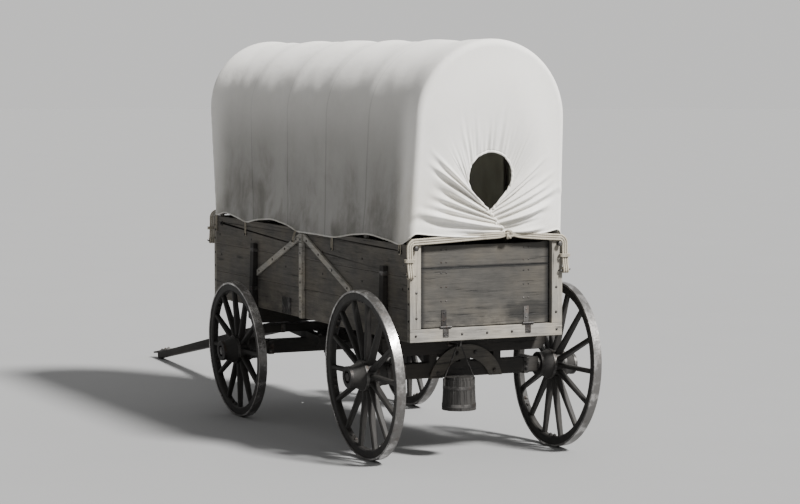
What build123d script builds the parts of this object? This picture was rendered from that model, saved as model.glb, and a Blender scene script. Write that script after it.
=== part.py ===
from build123d import *
import os
from math import acos, asin, atan, atan2, cos, hypot, radians, sin, tan

# A covered freight wagon, parked with its tongue on the ground.
# +X is forward, +Y is the wagon's left and +Z is up. The origin is on the ground, on the
# centre line, half way between the back of the rear wheels and the tip of the draw eye.
# All sizes are in millimetres and all angles in degrees.

os.makedirs("parts", exist_ok=True)

# Running gear
wheelbase = 2430
track = 1500
cant = 3.0
rear_wheel_diameter = 1220
front_wheel_diameter = 1080
rear_spoke_count = 14
front_spoke_count = 12
axle_thickness = 96
axle_height = 110
axle_chamfer = 12
hound_height = 60
reach_width = 80
reach_clearance = 5
bolster_overhang = 54
bolster_chamfer = 40
king_bolt_radius = 11
king_bolt_clearance = 2
wear_plate_radius = 75
wear_plate_thickness = 8
wear_plate_gap = 1

# Wheel parts
tyre_width = 64
tyre_thickness = 14
felloe_width = 54
felloe_depth = 60
felloe_chamfer = 9
felloe_kerf = 1.6
hub_seat_radius = 108
hub_end_radius = 84
hub_nose_radius = 74
hub_inboard = 142
hub_outboard = 160
hub_curve = 260
hub_band_width = 22
hub_band_thickness = 4
spoke_seat_width = 62
spoke_foot = (30, 58)
spoke_tip = (34, 36)
spoke_chamfer = 8
spoke_tenon = (24, 48)
spoke_tenon_length = 34
spoke_tang = (18, 20)
spoke_tang_length = 40
arm_big_radius = 38
arm_small_radius = 27
arm_clearance = 1
arm_end_gap = 3
collar_radius = 60
collar_thickness = 14
nut_recess_radius = 46
nut_recess_depth = 30
nut_flats = 58

# Box
box_length = 3740
box_width = 1220
box_bottom = 870
box_height = 685
rear_overhang = 390
board_thickness = 25
board_gap = 2
side_board_count = 3
floor_board_count = 7
floor_thickness = 25
cross_sill = (60, 50)
end_sill_height = 90
post_depth = 45
post_width = 85
stake_width = 64
stake_height = 515
stake_top = 34
stake_gap = 4
standard_width = 55
standard_thickness = 30
standard_drop = 34
brace_width = 46
brace_thickness = 20
brace_run = 860
brace_drop = 345
brace_gap = 12
head_board_recess = 12

# Tailgate
tailgate_recess = 32
tailgate_gap = 8
tailgate_rise = 6
tailgate_upper = 156
tailgate_drop = 10
batten = (70, 18)
batten_offset = 330
batten_inset = 10
cleat = (18, 90, 395)
cleat_gap = 5
hinge_radius = 9
hinge_pin_radius = 4
hinge_bore_clearance = 0.6
hinge_knuckle = 40
hinge_side_knuckle = 24
hinge_gap = 1
strap_width = 44
strap_thickness = 4
strap_length = 120

# Bows and cover
bow_width = 50
bow_thickness = 18
bow_depth_in_box = 355
spring_height = 855
canvas_thickness = 4
canvas_gap = 1
hem_drop = 28
hem_stand_off = 5
end_depth = 60
end_lift = 5
rear_end_inset = 4
front_end_inset = 16
rear_lean = -5.0
front_lean = 11.0
bow_count = 6
hole_width = 380
hole_height = 450
hole_bottom = 225
end_crease_radius = 45

# Tongue and front hounds
tongue_length = 3200
tongue_pivot_ahead = 750
tongue_tail = 120
tongue_width = 100
tongue_depth = 90
tongue_tip = 60
tongue_side_gap = 5
hound_width = 60
tongue_pin_radius = 12
tongue_pin_clearance = 1
eye_plate_thickness = 14
eye_plate_length = 260
eye_plate_width = 56
eye_reach = 70
eye_radius = 42
eye_bore = 18

# Tar bucket
bucket_height = 215
bucket_hang = 458
bucket_bottom_radius = 124
bucket_top_radius = 112
bucket_lid_height = 22
bucket_lid_inset = 8
bucket_side = 125
bucket_behind_axle = 195
bucket_arm_drop = 62
bucket_arm_radius = 8
bail_radius = 5
bail_clearance = 1.5

# Heights that follow from the sizes above
cant_slope = tan(radians(cant))
box_top = box_bottom + box_height
half_box = box_width / 2
board_inside = half_box - board_thickness
bow_radius = board_inside
arch_centre = box_top + spring_height
floor_top = box_bottom + cross_sill[1] + floor_thickness
sill_top = box_bottom + end_sill_height
bolster_end = half_box + bolster_overhang
half_axle = axle_thickness / 2
bucket_arm_height = box_bottom - bucket_arm_drop
bucket_bottom = bucket_arm_height - bucket_hang


def wheel_centre(diameter):
    """Distance from the centre line and height of a canted wheel's middle."""
    radius = diameter / 2
    return track / 2 + radius * sin(radians(cant)), radius * cos(radians(cant))


def spoke_seat_drop(diameter):
    """How far the dish sets the hub's spoke seat inboard of the rim's middle."""
    felloe_inside = diameter / 2 - tyre_thickness - felloe_depth
    return (felloe_inside - hub_seat_radius) * cant_slope


def axle_end(diameter, height):
    """Distance from the centre line of the axle beam's slanted end at a height."""
    middle_y, middle_z = wheel_centre(diameter)
    along = -spoke_seat_drop(diameter) - hub_inboard - arm_end_gap - collar_thickness
    end_y = middle_y + along * cos(radians(cant))
    end_z = middle_z - along * sin(radians(cant))
    return end_y + (height - end_z) * cant_slope


def axle_middle_height(diameter):
    """Height of the wheel's axis where it meets the axle beam's end."""
    middle_y, middle_z = wheel_centre(diameter)
    along = -spoke_seat_drop(diameter) - hub_inboard - arm_end_gap - collar_thickness
    return middle_z - along * sin(radians(cant))


rear_axle_top = axle_middle_height(rear_wheel_diameter) + axle_height / 2
rear_axle_bottom = rear_axle_top - axle_height
front_axle_top = axle_middle_height(front_wheel_diameter) + axle_height / 2
front_axle_bottom = front_axle_top - axle_height
rear_bolster_bottom = rear_axle_top + hound_height
front_hound_top = front_axle_top + hound_height
sand_board_height = 65
sand_board_top = front_hound_top + sand_board_height
front_bolster_bottom = sand_board_top + 2 * wear_plate_thickness + wear_plate_gap

# The tongue slopes down from its pin until the underside of its tip meets the ground.
tongue_pivot_height = front_axle_top + hound_height / 2
tip_reach = hypot(tongue_length, tongue_tip / 2)
tongue_slope = asin(tongue_pivot_height / tip_reach) - atan(tongue_tip / 2 / tongue_length)

# Places along the wagon
rear_reach = rear_wheel_diameter / 2 + tyre_width / 2 * cant_slope
eye_end = tongue_length + eye_reach + eye_radius
eye_top = tongue_tip / 2 + eye_plate_thickness
front_reach = (wheelbase + tongue_pivot_ahead + eye_end * cos(tongue_slope)
               + eye_top * sin(tongue_slope))
rear_x = (rear_reach - front_reach) / 2
front_x = rear_x + wheelbase
box_rear = rear_x - rear_overhang
box_front = box_rear + box_length
box_middle = (box_rear + box_front) / 2
tongue_x = front_x + tongue_pivot_ahead


def wheel_plane(axle_x, side, diameter):
    """Plane at a wheel's middle, its normal pointing outboard and down by the cant."""
    middle_y, middle_z = wheel_centre(diameter)
    normal = (0, side * cos(radians(cant)), -sin(radians(cant)))
    return Plane(origin=(axle_x, side * middle_y, middle_z), x_dir=(1, 0, 0), z_dir=normal)


def make_wheel(diameter, spoke_count):
    """A dished wheel about Z, outboard upwards: hub, bands, spokes, felloes and tyre."""
    tread = diameter / 2
    felloe_outside = tread - tyre_thickness
    felloe_inside = felloe_outside - felloe_depth
    seat = -spoke_seat_drop(diameter)

    # The tread is a cone as steep as the cant, so that it lies flat on the ground.
    half_tyre = tyre_width / 2
    tyre_rise = half_tyre * cant_slope
    with BuildPart() as tyre:
        with BuildSketch(Plane.XZ):
            with BuildLine():
                Polyline(
                    (tread + tyre_rise, -half_tyre),
                    (tread - tyre_rise, half_tyre),
                    (felloe_outside - tyre_rise, half_tyre),
                    (felloe_outside + tyre_rise, -half_tyre),
                    close=True,
                )
            make_face()
        revolve(axis=Axis.Z)

    # One spoke, square tenon in the hub, tapered octagon, square tang in the felloe.
    lean = radians(cant)
    foot = Plane(
        origin=(hub_seat_radius, 0, seat), x_dir=(0, 1, 0), z_dir=(cos(lean), 0, sin(lean))
    )
    spoke_length = (felloe_inside - hub_seat_radius) / cos(lean)
    with BuildPart() as spoke:
        with BuildSketch(foot) as foot_section:
            Rectangle(*spoke_foot)
            chamfer(foot_section.vertices(), spoke_chamfer)
        with BuildSketch(foot.offset(spoke_length)) as tip_section:
            Rectangle(*spoke_tip)
            chamfer(tip_section.vertices(), spoke_chamfer)
        loft(ruled=True)
        with BuildSketch(foot):
            Rectangle(*spoke_tenon)
        extrude(amount=-spoke_tenon_length)
        with BuildSketch(foot.offset(spoke_length)):
            Rectangle(*spoke_tang)
        extrude(amount=spoke_tang_length)
    with BuildPart() as spokes:
        with PolarLocations(0, spoke_count):
            add(spoke.part)

    # Two spokes enter each felloe, and a saw kerf parts one felloe from the next.
    half_felloe = felloe_width / 2
    felloe_rise = half_felloe * cant_slope
    with BuildPart() as felloes:
        with BuildSketch(Plane.XZ):
            with BuildLine():
                Polyline(
                    (felloe_outside + felloe_rise, -half_felloe),
                    (felloe_outside - felloe_rise, half_felloe),
                    (felloe_inside + felloe_chamfer, half_felloe),
                    (felloe_inside, half_felloe - felloe_chamfer),
                    (felloe_inside, felloe_chamfer - half_felloe),
                    (felloe_inside + felloe_chamfer, -half_felloe),
                    close=True,
                )
            make_face()
        revolve(axis=Axis.Z)
        add(spokes.part, mode=Mode.SUBTRACT)
        with PolarLocations(felloe_inside + felloe_depth / 2, spoke_count // 2, 180 / spoke_count):
            Box(2 * felloe_depth, felloe_kerf, 2 * felloe_width, mode=Mode.SUBTRACT)

    # The hub is turned, with flat lands for its four bands and a swell under the spokes.
    land = hub_band_width
    inner_end = seat - hub_inboard
    nose_end = seat + hub_outboard
    waist = spoke_seat_width / 2 + land
    arm_slope = (arm_big_radius - arm_small_radius) / (hub_inboard + hub_outboard)
    bore_big = arm_big_radius + arm_clearance
    bore_small = arm_small_radius + arm_clearance + arm_slope * nut_recess_depth
    with BuildPart() as hub:
        with BuildSketch(Plane.XZ):
            with BuildLine():
                Polyline(
                    (nut_recess_radius, nose_end),
                    (hub_nose_radius, nose_end),
                    (hub_nose_radius, nose_end - land),
                )
                RadiusArc((hub_nose_radius, nose_end - land), (hub_seat_radius, seat + waist), -hub_curve)
                Line((hub_seat_radius, seat + waist), (hub_seat_radius, seat - waist))
                RadiusArc((hub_seat_radius, seat - waist), (hub_end_radius, inner_end + land), -hub_curve)
                Polyline(
                    (hub_end_radius, inner_end + land),
                    (hub_end_radius, inner_end),
                    (bore_big, inner_end),
                    (bore_small, nose_end - nut_recess_depth),
                    (nut_recess_radius, nose_end - nut_recess_depth),
                    (nut_recess_radius, nose_end),
                )
            make_face()
        revolve(axis=Axis.Z)
        add(spokes.part, mode=Mode.SUBTRACT)

    # radius of the land, height of the band's lower edge
    band_places = [
        (hub_end_radius, inner_end),
        (hub_seat_radius, seat - waist),
        (hub_seat_radius, seat + waist - land),
        (hub_nose_radius, nose_end - land),
    ]
    with BuildPart() as bands:
        for land_radius, low in band_places:
            with BuildSketch(Plane.XY.offset(low)):
                Circle(land_radius + hub_band_thickness)
                Circle(land_radius, mode=Mode.SUBTRACT)
            extrude(amount=land)

    return {"hub": hub, "hub_bands": bands, "spokes": spokes, "felloes": felloes, "tyre": tyre}


def make_axle_arm(diameter):
    """The tapered iron arm about Z with its collar inboard and its nut at the tip."""
    seat = -spoke_seat_drop(diameter)
    collar_face = seat - hub_inboard - arm_end_gap
    arm_tip = seat + hub_outboard - nut_recess_depth + arm_clearance
    nut_height = nut_recess_depth - 3 * arm_clearance
    arm_slope = (arm_big_radius - arm_small_radius) / (hub_inboard + hub_outboard)
    tip_radius = arm_small_radius + arm_slope * nut_recess_depth
    with BuildPart() as arm:
        with BuildSketch(Plane.XZ):
            with BuildLine():
                Polyline(
                    (0, collar_face - collar_thickness),
                    (collar_radius, collar_face - collar_thickness),
                    (collar_radius, collar_face),
                    (arm_big_radius + arm_slope * arm_end_gap, collar_face),
                    (tip_radius, arm_tip),
                    (0, arm_tip),
                    close=True,
                )
            make_face()
        revolve(axis=Axis.Z)
        with BuildSketch(Plane.XY.offset(arm_tip)):
            RegularPolygon(nut_flats / 2, 6, major_radius=False)
        extrude(amount=nut_height)
    return arm


# Wheels, one node for each piece of each wheel
rear_wheel = make_wheel(rear_wheel_diameter, rear_spoke_count)
front_wheel = make_wheel(front_wheel_diameter, front_spoke_count)

# name, axle's X, side (1 is left), diameter, pieces
corners = [
    ("rear_left", rear_x, 1, rear_wheel_diameter, rear_wheel),
    ("rear_right", rear_x, -1, rear_wheel_diameter, rear_wheel),
    ("front_left", front_x, 1, front_wheel_diameter, front_wheel),
    ("front_right", front_x, -1, front_wheel_diameter, front_wheel),
]
for corner, axle_x, side, diameter, pieces in corners:
    for piece, shape in pieces.items():
        with BuildPart() as placed:
            with Locations(wheel_plane(axle_x, side, diameter)):
                add(shape.part)
        placed.part.label = f"{corner}_{piece}"
        export_step(placed.part, f"parts/{corner}_{piece}.step")

# Axle arms, a left and a right one for each axle
# name, axle's X, diameter
arms = [
    ("rear_axle_arms", rear_x, rear_wheel_diameter),
    ("front_axle_arms", front_x, front_wheel_diameter),
]
for arm_name, axle_x, diameter in arms:
    arm = make_axle_arm(diameter)
    with BuildPart() as pair:
        with Locations(wheel_plane(axle_x, 1, diameter), wheel_plane(axle_x, -1, diameter)):
            add(arm.part)
    pair.part.label = arm_name
    export_step(pair.part, f"parts/{arm_name}.step")

# Axle beams, their ends square to the canted arms
# name, axle's X, top, diameter, hole for the king bolt
king_hole = king_bolt_radius + king_bolt_clearance
beams = [
    ("rear_axle", rear_x, rear_axle_top, rear_wheel_diameter, 0),
    ("front_axle", front_x, front_axle_top, front_wheel_diameter, king_hole),
]
for beam_name, axle_x, top, diameter, hole in beams:
    bottom = top - axle_height
    with BuildPart() as beam:
        with BuildSketch(Plane.YZ.offset(axle_x)):
            with BuildLine():
                Polyline(
                    (axle_end(diameter, top), top),
                    (axle_end(diameter, bottom), bottom),
                    (-axle_end(diameter, bottom), bottom),
                    (-axle_end(diameter, top), top),
                    close=True,
                )
            make_face()
        extrude(amount=half_axle, both=True)
        long_edges = beam.edges().filter_by(Axis.Y)
        chamfer(long_edges.sort_by(Axis.Z)[:2], axle_chamfer)
        if hole:
            with Locations((axle_x, 0, top - axle_height / 2)):
                Cylinder(hole, 2 * axle_height, mode=Mode.SUBTRACT)
    beam.part.label = beam_name
    export_step(beam.part, f"parts/{beam_name}.step")

# Rear bolster, carried on the rear hounds and the reach
with BuildPart() as rear_bolster:
    with BuildSketch(Plane.XY.offset(rear_bolster_bottom)):
        with Locations((rear_x, 0)):
            Rectangle(axle_thickness, 2 * bolster_end)
    extrude(amount=box_bottom - rear_bolster_bottom)
    low_ends = rear_bolster.edges().filter_by(Axis.X).group_by(Axis.Z)[0]
    chamfer(low_ends, bolster_chamfer)
rear_bolster.part.label = "rear_bolster"
export_step(rear_bolster.part, "parts/rear_bolster.step")

# Front bolster, which turns on the wear plate below it
bolt_head_radius = 22
bolt_head_height = 14
with BuildPart() as front_bolster:
    with BuildSketch(Plane.XY.offset(front_bolster_bottom)):
        with Locations((front_x, 0)):
            Rectangle(axle_thickness, 2 * bolster_end)
    extrude(amount=box_bottom - front_bolster_bottom)
    low_ends = front_bolster.edges().filter_by(Axis.X).group_by(Axis.Z)[0]
    chamfer(low_ends, bolster_chamfer)
    with Locations((front_x, 0, box_bottom)):
        CounterBoreHole(king_bolt_radius, bolt_head_radius, bolt_head_height)
front_bolster.part.label = "front_bolster"
export_step(front_bolster.part, "parts/front_bolster.step")

# Stakes on the bolster ends, tapered outside, which hold the box in place
stake_inside = half_box + stake_gap
with BuildPart() as bolster_stakes:
    for axle_x in (rear_x, front_x):
        with BuildSketch(Plane.YZ.offset(axle_x)) as stake_outline:
            with BuildLine():
                Polyline(
                    (stake_inside, box_bottom),
                    (bolster_end, box_bottom),
                    (stake_inside + stake_top, box_bottom + stake_height),
                    (stake_inside, box_bottom + stake_height),
                    close=True,
                )
            make_face()
            mirror(about=Plane.YZ)
        extrude(amount=stake_width / 2, both=True)
bolster_stakes.part.label = "bolster_stakes"
export_step(bolster_stakes.part, "parts/bolster_stakes.step")

# Reach from behind the rear axle to the king bolt, stepping down to the lower front gear
reach_top = front_hound_top - reach_clearance
reach_bottom = front_axle_top + reach_clearance
reach_tail = half_axle
reach_nose = 90
reach_bend = half_axle + 12
with BuildPart() as reach:
    with BuildSketch(Plane.XZ):
        with BuildLine():
            Polyline(
                (rear_x - reach_tail, rear_bolster_bottom),
                (rear_x + reach_bend, rear_bolster_bottom),
                (front_x - reach_nose, reach_top),
                (front_x + reach_nose, reach_top),
                (front_x + reach_nose, reach_bottom),
                (front_x - reach_nose, reach_bottom),
                (rear_x + reach_bend, rear_axle_top),
                (rear_x - reach_tail, rear_axle_top),
                close=True,
            )
        make_face()
    extrude(amount=reach_width / 2, both=True)
    with Locations((front_x, 0, reach_bottom)):
        Cylinder(king_bolt_radius, 4 * hound_height, mode=Mode.SUBTRACT)
reach.part.label = "reach"
export_step(reach.part, "parts/reach.step")

# Rear hounds between axle and bolster, drawing in to the sides of the reach
rear_hound_tail = half_axle
rear_hound_side = 260
rear_hound_length = 680
with BuildPart() as rear_hounds:
    with BuildSketch(Plane.XY.offset(rear_axle_top)) as rear_hound_outline:
        with BuildLine():
            Polyline(
                (rear_x - rear_hound_tail, rear_hound_side + hound_width / 2),
                (rear_x - rear_hound_tail, rear_hound_side - hound_width / 2),
                (rear_x + half_axle, rear_hound_side - hound_width / 2),
                (rear_x + rear_hound_length - 2 * hound_width, reach_width / 2),
                (rear_x + rear_hound_length, reach_width / 2),
                (rear_x + half_axle, rear_hound_side + hound_width / 2),
                close=True,
            )
        make_face()
        mirror(about=Plane.XZ)
    extrude(amount=hound_height)
rear_hounds.part.label = "rear_hounds"
export_step(rear_hounds.part, "parts/rear_hounds.step")

# Arched brace across the rear faces of axle and bolster
arch_outer = 300
arch_inner = 200
arch_thickness = 18
arch_drop = 235
arch_middle = rear_bolster_bottom - arch_drop
with BuildPart() as arch_brace:
    with BuildSketch(Plane.YZ.offset(rear_x - half_axle)):
        with Locations((0, arch_middle)):
            Circle(arch_outer)
            Circle(arch_inner, mode=Mode.SUBTRACT)
        with Locations((0, rear_axle_bottom)):
            Rectangle(3 * arch_outer, 3 * arch_outer, align=(Align.CENTER, Align.MAX),
                      mode=Mode.SUBTRACT)
    extrude(amount=-arch_thickness)
arch_brace.part.label = "arch_brace"
export_step(arch_brace.part, "parts/arch_brace.step")

# King bolt with its head in the bolster, the bolster's wear plate and the nut below
nut_gap = 4
nut_thickness = 18
nut_corner = 20
bolt_tail = 26
head_recess = 2
bolt_end = front_axle_bottom - nut_gap - nut_thickness - bolt_tail
with BuildPart() as king_bolt:
    with Locations((front_x, 0, bolt_end)):
        Cylinder(king_bolt_radius, box_bottom - head_recess - bolt_end,
                 align=(Align.CENTER, Align.CENTER, Align.MIN))
    with Locations((front_x, 0, box_bottom - head_recess)):
        Cylinder(bolt_head_radius, bolt_head_height - head_recess,
                 align=(Align.CENTER, Align.CENTER, Align.MAX))
    with BuildSketch(Plane.XY.offset(front_axle_bottom - nut_gap)):
        with Locations((front_x, 0)):
            RegularPolygon(nut_corner, 6)
    extrude(amount=-nut_thickness)
    with Locations((front_x, 0, front_bolster_bottom)):
        Cylinder(wear_plate_radius, wear_plate_thickness,
                 align=(Align.CENTER, Align.CENTER, Align.MAX))
king_bolt.part.label = "king_bolt"
export_step(king_bolt.part, "parts/king_bolt.step")

# Sand board of the front gear, with its own wear plate
sand_board_inset = 50
sand_board_chamfer = 30
with BuildPart() as sand_board:
    with BuildSketch(Plane.XY.offset(front_hound_top)):
        with Locations((front_x, 0)):
            Rectangle(axle_thickness, 2 * (half_box - sand_board_inset))
            Circle(king_hole, mode=Mode.SUBTRACT)
    extrude(amount=sand_board_height)
    top_ends = sand_board.edges().filter_by(Axis.X).group_by(Axis.Z)[-1]
    chamfer(top_ends, sand_board_chamfer)
sand_board.part.label = "sand_board"
export_step(sand_board.part, "parts/sand_board.step")

with BuildPart() as wear_plate:
    with BuildSketch(Plane.XY.offset(sand_board_top)):
        with Locations((front_x, 0)):
            Circle(wear_plate_radius)
            Circle(king_hole, mode=Mode.SUBTRACT)
    extrude(amount=wear_plate_thickness)
wear_plate.part.label = "wear_plate"
export_step(wear_plate.part, "parts/wear_plate.step")

# Front hounds, splayed behind the axle and parallel where they hold the tongue
hound_inside = tongue_width / 2 + tongue_side_gap
hound_rear = 470
hound_rear_side = 210
hound_axle_side = 140
hound_jaw = tongue_pivot_ahead - 190
hound_front = tongue_pivot_ahead + 70
with BuildPart() as front_hounds:
    with BuildSketch(Plane.XY.offset(front_axle_top)) as front_hound_outline:
        with BuildLine():
            Polyline(
                (front_x - hound_rear, hound_rear_side + hound_width),
                (front_x - hound_rear, hound_rear_side),
                (front_x - half_axle, hound_axle_side),
                (front_x + half_axle, hound_axle_side),
                (front_x + hound_jaw, hound_inside),
                (front_x + hound_front, hound_inside),
                (front_x + hound_front, hound_inside + hound_width),
                (front_x + hound_jaw, hound_inside + hound_width),
                (front_x + half_axle, hound_axle_side + hound_width),
                (front_x - half_axle, hound_axle_side + hound_width),
                close=True,
            )
        make_face()
        mirror(about=Plane.XZ)
    extrude(amount=hound_height)
    with Locations(Location((tongue_x, 0, tongue_pivot_height), (90, 0, 0))):
        Cylinder(tongue_pin_radius, 3 * tongue_width, mode=Mode.SUBTRACT)
front_hounds.part.label = "front_hounds"
export_step(front_hounds.part, "parts/front_hounds.step")

# Sway bar under the splayed ends of the hounds, passing below the reach
sway_bar_width = 60
sway_bar_height = 40
sway_bar_inset = 45
with BuildPart() as sway_bar:
    with Locations((front_x - hound_rear + sway_bar_inset, 0, front_axle_top)):
        Box(sway_bar_width, 2 * (hound_rear_side + hound_width), sway_bar_height,
            align=(Align.CENTER, Align.CENTER, Align.MAX))
    chamfer(sway_bar.edges().filter_by(Axis.X).group_by(Axis.Z)[0], sway_bar_height / 2)
sway_bar.part.label = "sway_bar"
export_step(sway_bar.part, "parts/sway_bar.step")

# Pin that the tongue hangs on, with a collar outside each hound
pin_collar_width = 12
pin_collar_edge = 9
pin_end = 4
hound_outside = hound_inside + hound_width
collar_side = hound_outside + pin_collar_width / 2
with BuildPart() as tongue_pin:
    with Locations(Location((tongue_x, 0, tongue_pivot_height), (90, 0, 0))):
        Cylinder(tongue_pin_radius, 2 * (hound_outside + pin_collar_width + pin_end))
    for side in (1, -1):
        with Locations(Location((tongue_x, side * collar_side, tongue_pivot_height), (90, 0, 0))):
            Cylinder(tongue_pin_radius + pin_collar_edge, pin_collar_width)
tongue_pin.part.label = "tongue_pin"
export_step(tongue_pin.part, "parts/tongue_pin.step")

# Tongue, drawn on its own sloping plane: X along the pole, Z across its depth
tongue_plane = Plane(
    origin=(tongue_x, 0, tongue_pivot_height),
    x_dir=(cos(tongue_slope), 0, -sin(tongue_slope)),
    z_dir=(sin(tongue_slope), 0, cos(tongue_slope)),
)
half_depth = tongue_depth / 2
half_tip = tongue_tip / 2
straight_part = 260
strap_start = tongue_length - eye_plate_length
with BuildPart() as tongue:
    with BuildSketch(Plane.XZ) as tongue_side:
        with BuildLine():
            Polyline(
                (-tongue_tail, -half_depth),
                (straight_part, -half_depth),
                (strap_start, -half_tip),
                (tongue_length, -half_tip),
                (tongue_length, half_tip),
                (strap_start, half_tip),
                (straight_part, half_depth),
                (-tongue_tail, half_depth),
                close=True,
            )
        make_face()
    extrude(amount=tongue_width, both=True)
    with BuildSketch(Plane.XY):
        with BuildLine():
            Polyline(
                (-tongue_tail, -tongue_width / 2),
                (straight_part, -tongue_width / 2),
                (tongue_length, -half_tip),
                (tongue_length, half_tip),
                (straight_part, tongue_width / 2),
                (-tongue_tail, tongue_width / 2),
                close=True,
            )
        make_face()
    extrude(amount=tongue_depth, both=True, mode=Mode.INTERSECT)
    with Locations(Location((0, 0, 0), (90, 0, 0))):
        Cylinder(tongue_pin_radius + tongue_pin_clearance, 2 * tongue_width, mode=Mode.SUBTRACT)
with BuildPart() as placed_tongue:
    with Locations(tongue_plane):
        add(tongue.part)
placed_tongue.part.label = "tongue"
export_step(placed_tongue.part, "parts/tongue.step")

# Iron strap on top of the tongue's tip, ending in the eye that the draught chain takes
with BuildPart() as draw_eye:
    with BuildSketch(tongue_plane.offset(half_tip)):
        with Locations((tongue_length + eye_reach, 0)):
            Circle(eye_radius)
        with Locations((tongue_length + eye_reach, 0)):
            Rectangle(eye_plate_length + eye_reach, eye_plate_width, align=(Align.MAX, Align.CENTER))
        with Locations((tongue_length + eye_reach, 0)):
            Circle(eye_bore, mode=Mode.SUBTRACT)
    extrude(amount=eye_plate_thickness)
draw_eye.part.label = "draw_eye"
export_step(draw_eye.part, "parts/draw_eye.step")

# End sills across the full width of the box
with BuildPart() as end_sills:
    for sill_x in (box_rear + post_depth / 2, box_front - post_depth / 2):
        with Locations((sill_x, 0, box_bottom)):
            Box(post_depth, box_width, end_sill_height,
                align=(Align.CENTER, Align.CENTER, Align.MIN))
end_sills.part.label = "end_sills"
export_step(end_sills.part, "parts/end_sills.step")

# Cross sills under the floor, one over each bolster, one in the middle, one near each end
end_sill_inset = post_depth + 75
cross_sill_places = [
    box_rear + end_sill_inset,
    rear_x,
    box_middle,
    front_x,
    box_front - end_sill_inset,
]
with BuildPart() as cross_sills:
    for sill_x in cross_sill_places:
        with Locations((sill_x, 0, box_bottom)):
            Box(cross_sill[0], 2 * board_inside, cross_sill[1],
                align=(Align.CENTER, Align.CENTER, Align.MIN))
cross_sills.part.label = "cross_sills"
export_step(cross_sills.part, "parts/cross_sills.step")

# Floor boards along the box, between the end sills
floor_pitch = (2 * board_inside + board_gap) / floor_board_count
floor_length = box_length - 2 * post_depth
with BuildPart() as floor_boards:
    with BuildSketch(Plane.XY.offset(box_bottom + cross_sill[1])):
        with Locations((box_middle, 0)):
            with GridLocations(1, floor_pitch, 1, floor_board_count):
                Rectangle(floor_length, floor_pitch - board_gap)
    extrude(amount=floor_thickness)
floor_boards.part.label = "floor_boards"
export_step(floor_boards.part, "parts/floor_boards.step")

# Side boards, three high on each side, bored for the two end rods
rod_radius = 7
rod_drop = 55
rear_rod = box_rear + post_depth + 105
front_rod = box_front - post_depth - 135
side_pitch = (box_height + board_gap) / side_board_count
side_length = box_length - 2 * post_depth
with BuildPart() as side_boards:
    for side in (1, -1):
        board_middle = side * (half_box - board_thickness / 2)
        for row in range(side_board_count):
            with Locations((box_middle, board_middle, box_bottom + row * side_pitch)):
                Box(side_length, board_thickness, side_pitch - board_gap,
                    align=(Align.CENTER, Align.CENTER, Align.MIN))
    for rod_x in (rear_rod, front_rod):
        with Locations(Location((rod_x, 0, box_top - rod_drop), (90, 0, 0))):
            Cylinder(rod_radius, 2 * box_width, mode=Mode.SUBTRACT)
side_boards.part.label = "side_boards"
export_step(side_boards.part, "parts/side_boards.step")

# Corner posts on the end sills, and the two cleats inside that the tailgate closes against
post_side = half_box - post_width / 2
cleat_start = box_rear + tailgate_recess + board_thickness + cleat_gap
with BuildPart() as corner_posts:
    for post_x in (box_rear + post_depth / 2, box_front - post_depth / 2):
        for side in (1, -1):
            with Locations((post_x, side * post_side, sill_top)):
                Box(post_depth, post_width, box_top - sill_top,
                    align=(Align.CENTER, Align.CENTER, Align.MIN))
    for side in (1, -1):
        with Locations((cleat_start, side * (board_inside - cleat[1] / 2), floor_top)):
            Box(*cleat, align=(Align.MIN, Align.CENTER, Align.MIN))
corner_posts.part.label = "corner_posts"
export_step(corner_posts.part, "parts/corner_posts.step")

# Head boards between the front posts, with two battens on their inner face
head_width = 2 * (half_box - post_width)
head_height = box_top - sill_top
head_pitch = (head_height + board_gap) / side_board_count
head_middle = box_front - head_board_recess - board_thickness / 2
head_inside = head_middle - board_thickness / 2
with BuildPart() as head_boards:
    for row in range(side_board_count):
        with Locations((head_middle, 0, sill_top + row * head_pitch)):
            Box(board_thickness, head_width, head_pitch - board_gap,
                align=(Align.CENTER, Align.CENTER, Align.MIN))
    for side in (1, -1):
        with Locations((head_inside, side * batten_offset, sill_top + batten_inset)):
            Box(batten[1], batten[0], head_height - 2 * batten_inset,
                align=(Align.MAX, Align.CENTER, Align.MIN))
head_boards.part.label = "head_boards"
export_step(head_boards.part, "parts/head_boards.step")

# Upright standard in the middle of each side, and two slanted braces beside it
standard_top = box_top - standard_drop
with BuildPart() as side_braces:
    with BuildSketch(Plane.XZ.offset(-half_box)):
        with BuildLine():
            Polyline(
                (box_middle - standard_width / 2, box_bottom),
                (box_middle + standard_width / 2, box_bottom),
                (box_middle + standard_width / 2, standard_top),
                (box_middle - standard_width / 2, standard_top),
                close=True,
            )
        make_face()
    extrude(amount=-standard_thickness)
    brace_start = standard_width / 2 + brace_gap
    brace_angle = atan2(brace_drop, brace_run)
    brace_cut = brace_width / cos(brace_angle)
    with BuildSketch(Plane.XZ.offset(-half_box)) as brace_outline:
        with BuildLine():
            Polyline(
                (box_middle + brace_start, standard_top),
                (box_middle + brace_start + brace_run, standard_top - brace_drop),
                (box_middle + brace_start + brace_run, standard_top - brace_drop - brace_cut),
                (box_middle + brace_start, standard_top - brace_cut),
                close=True,
            )
        make_face()
        mirror(about=Plane.YZ.offset(box_middle))
    extrude(amount=-brace_thickness)
    mirror(about=Plane.XZ)
side_braces.part.label = "side_braces"
export_step(side_braces.part, "parts/side_braces.step")

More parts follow.
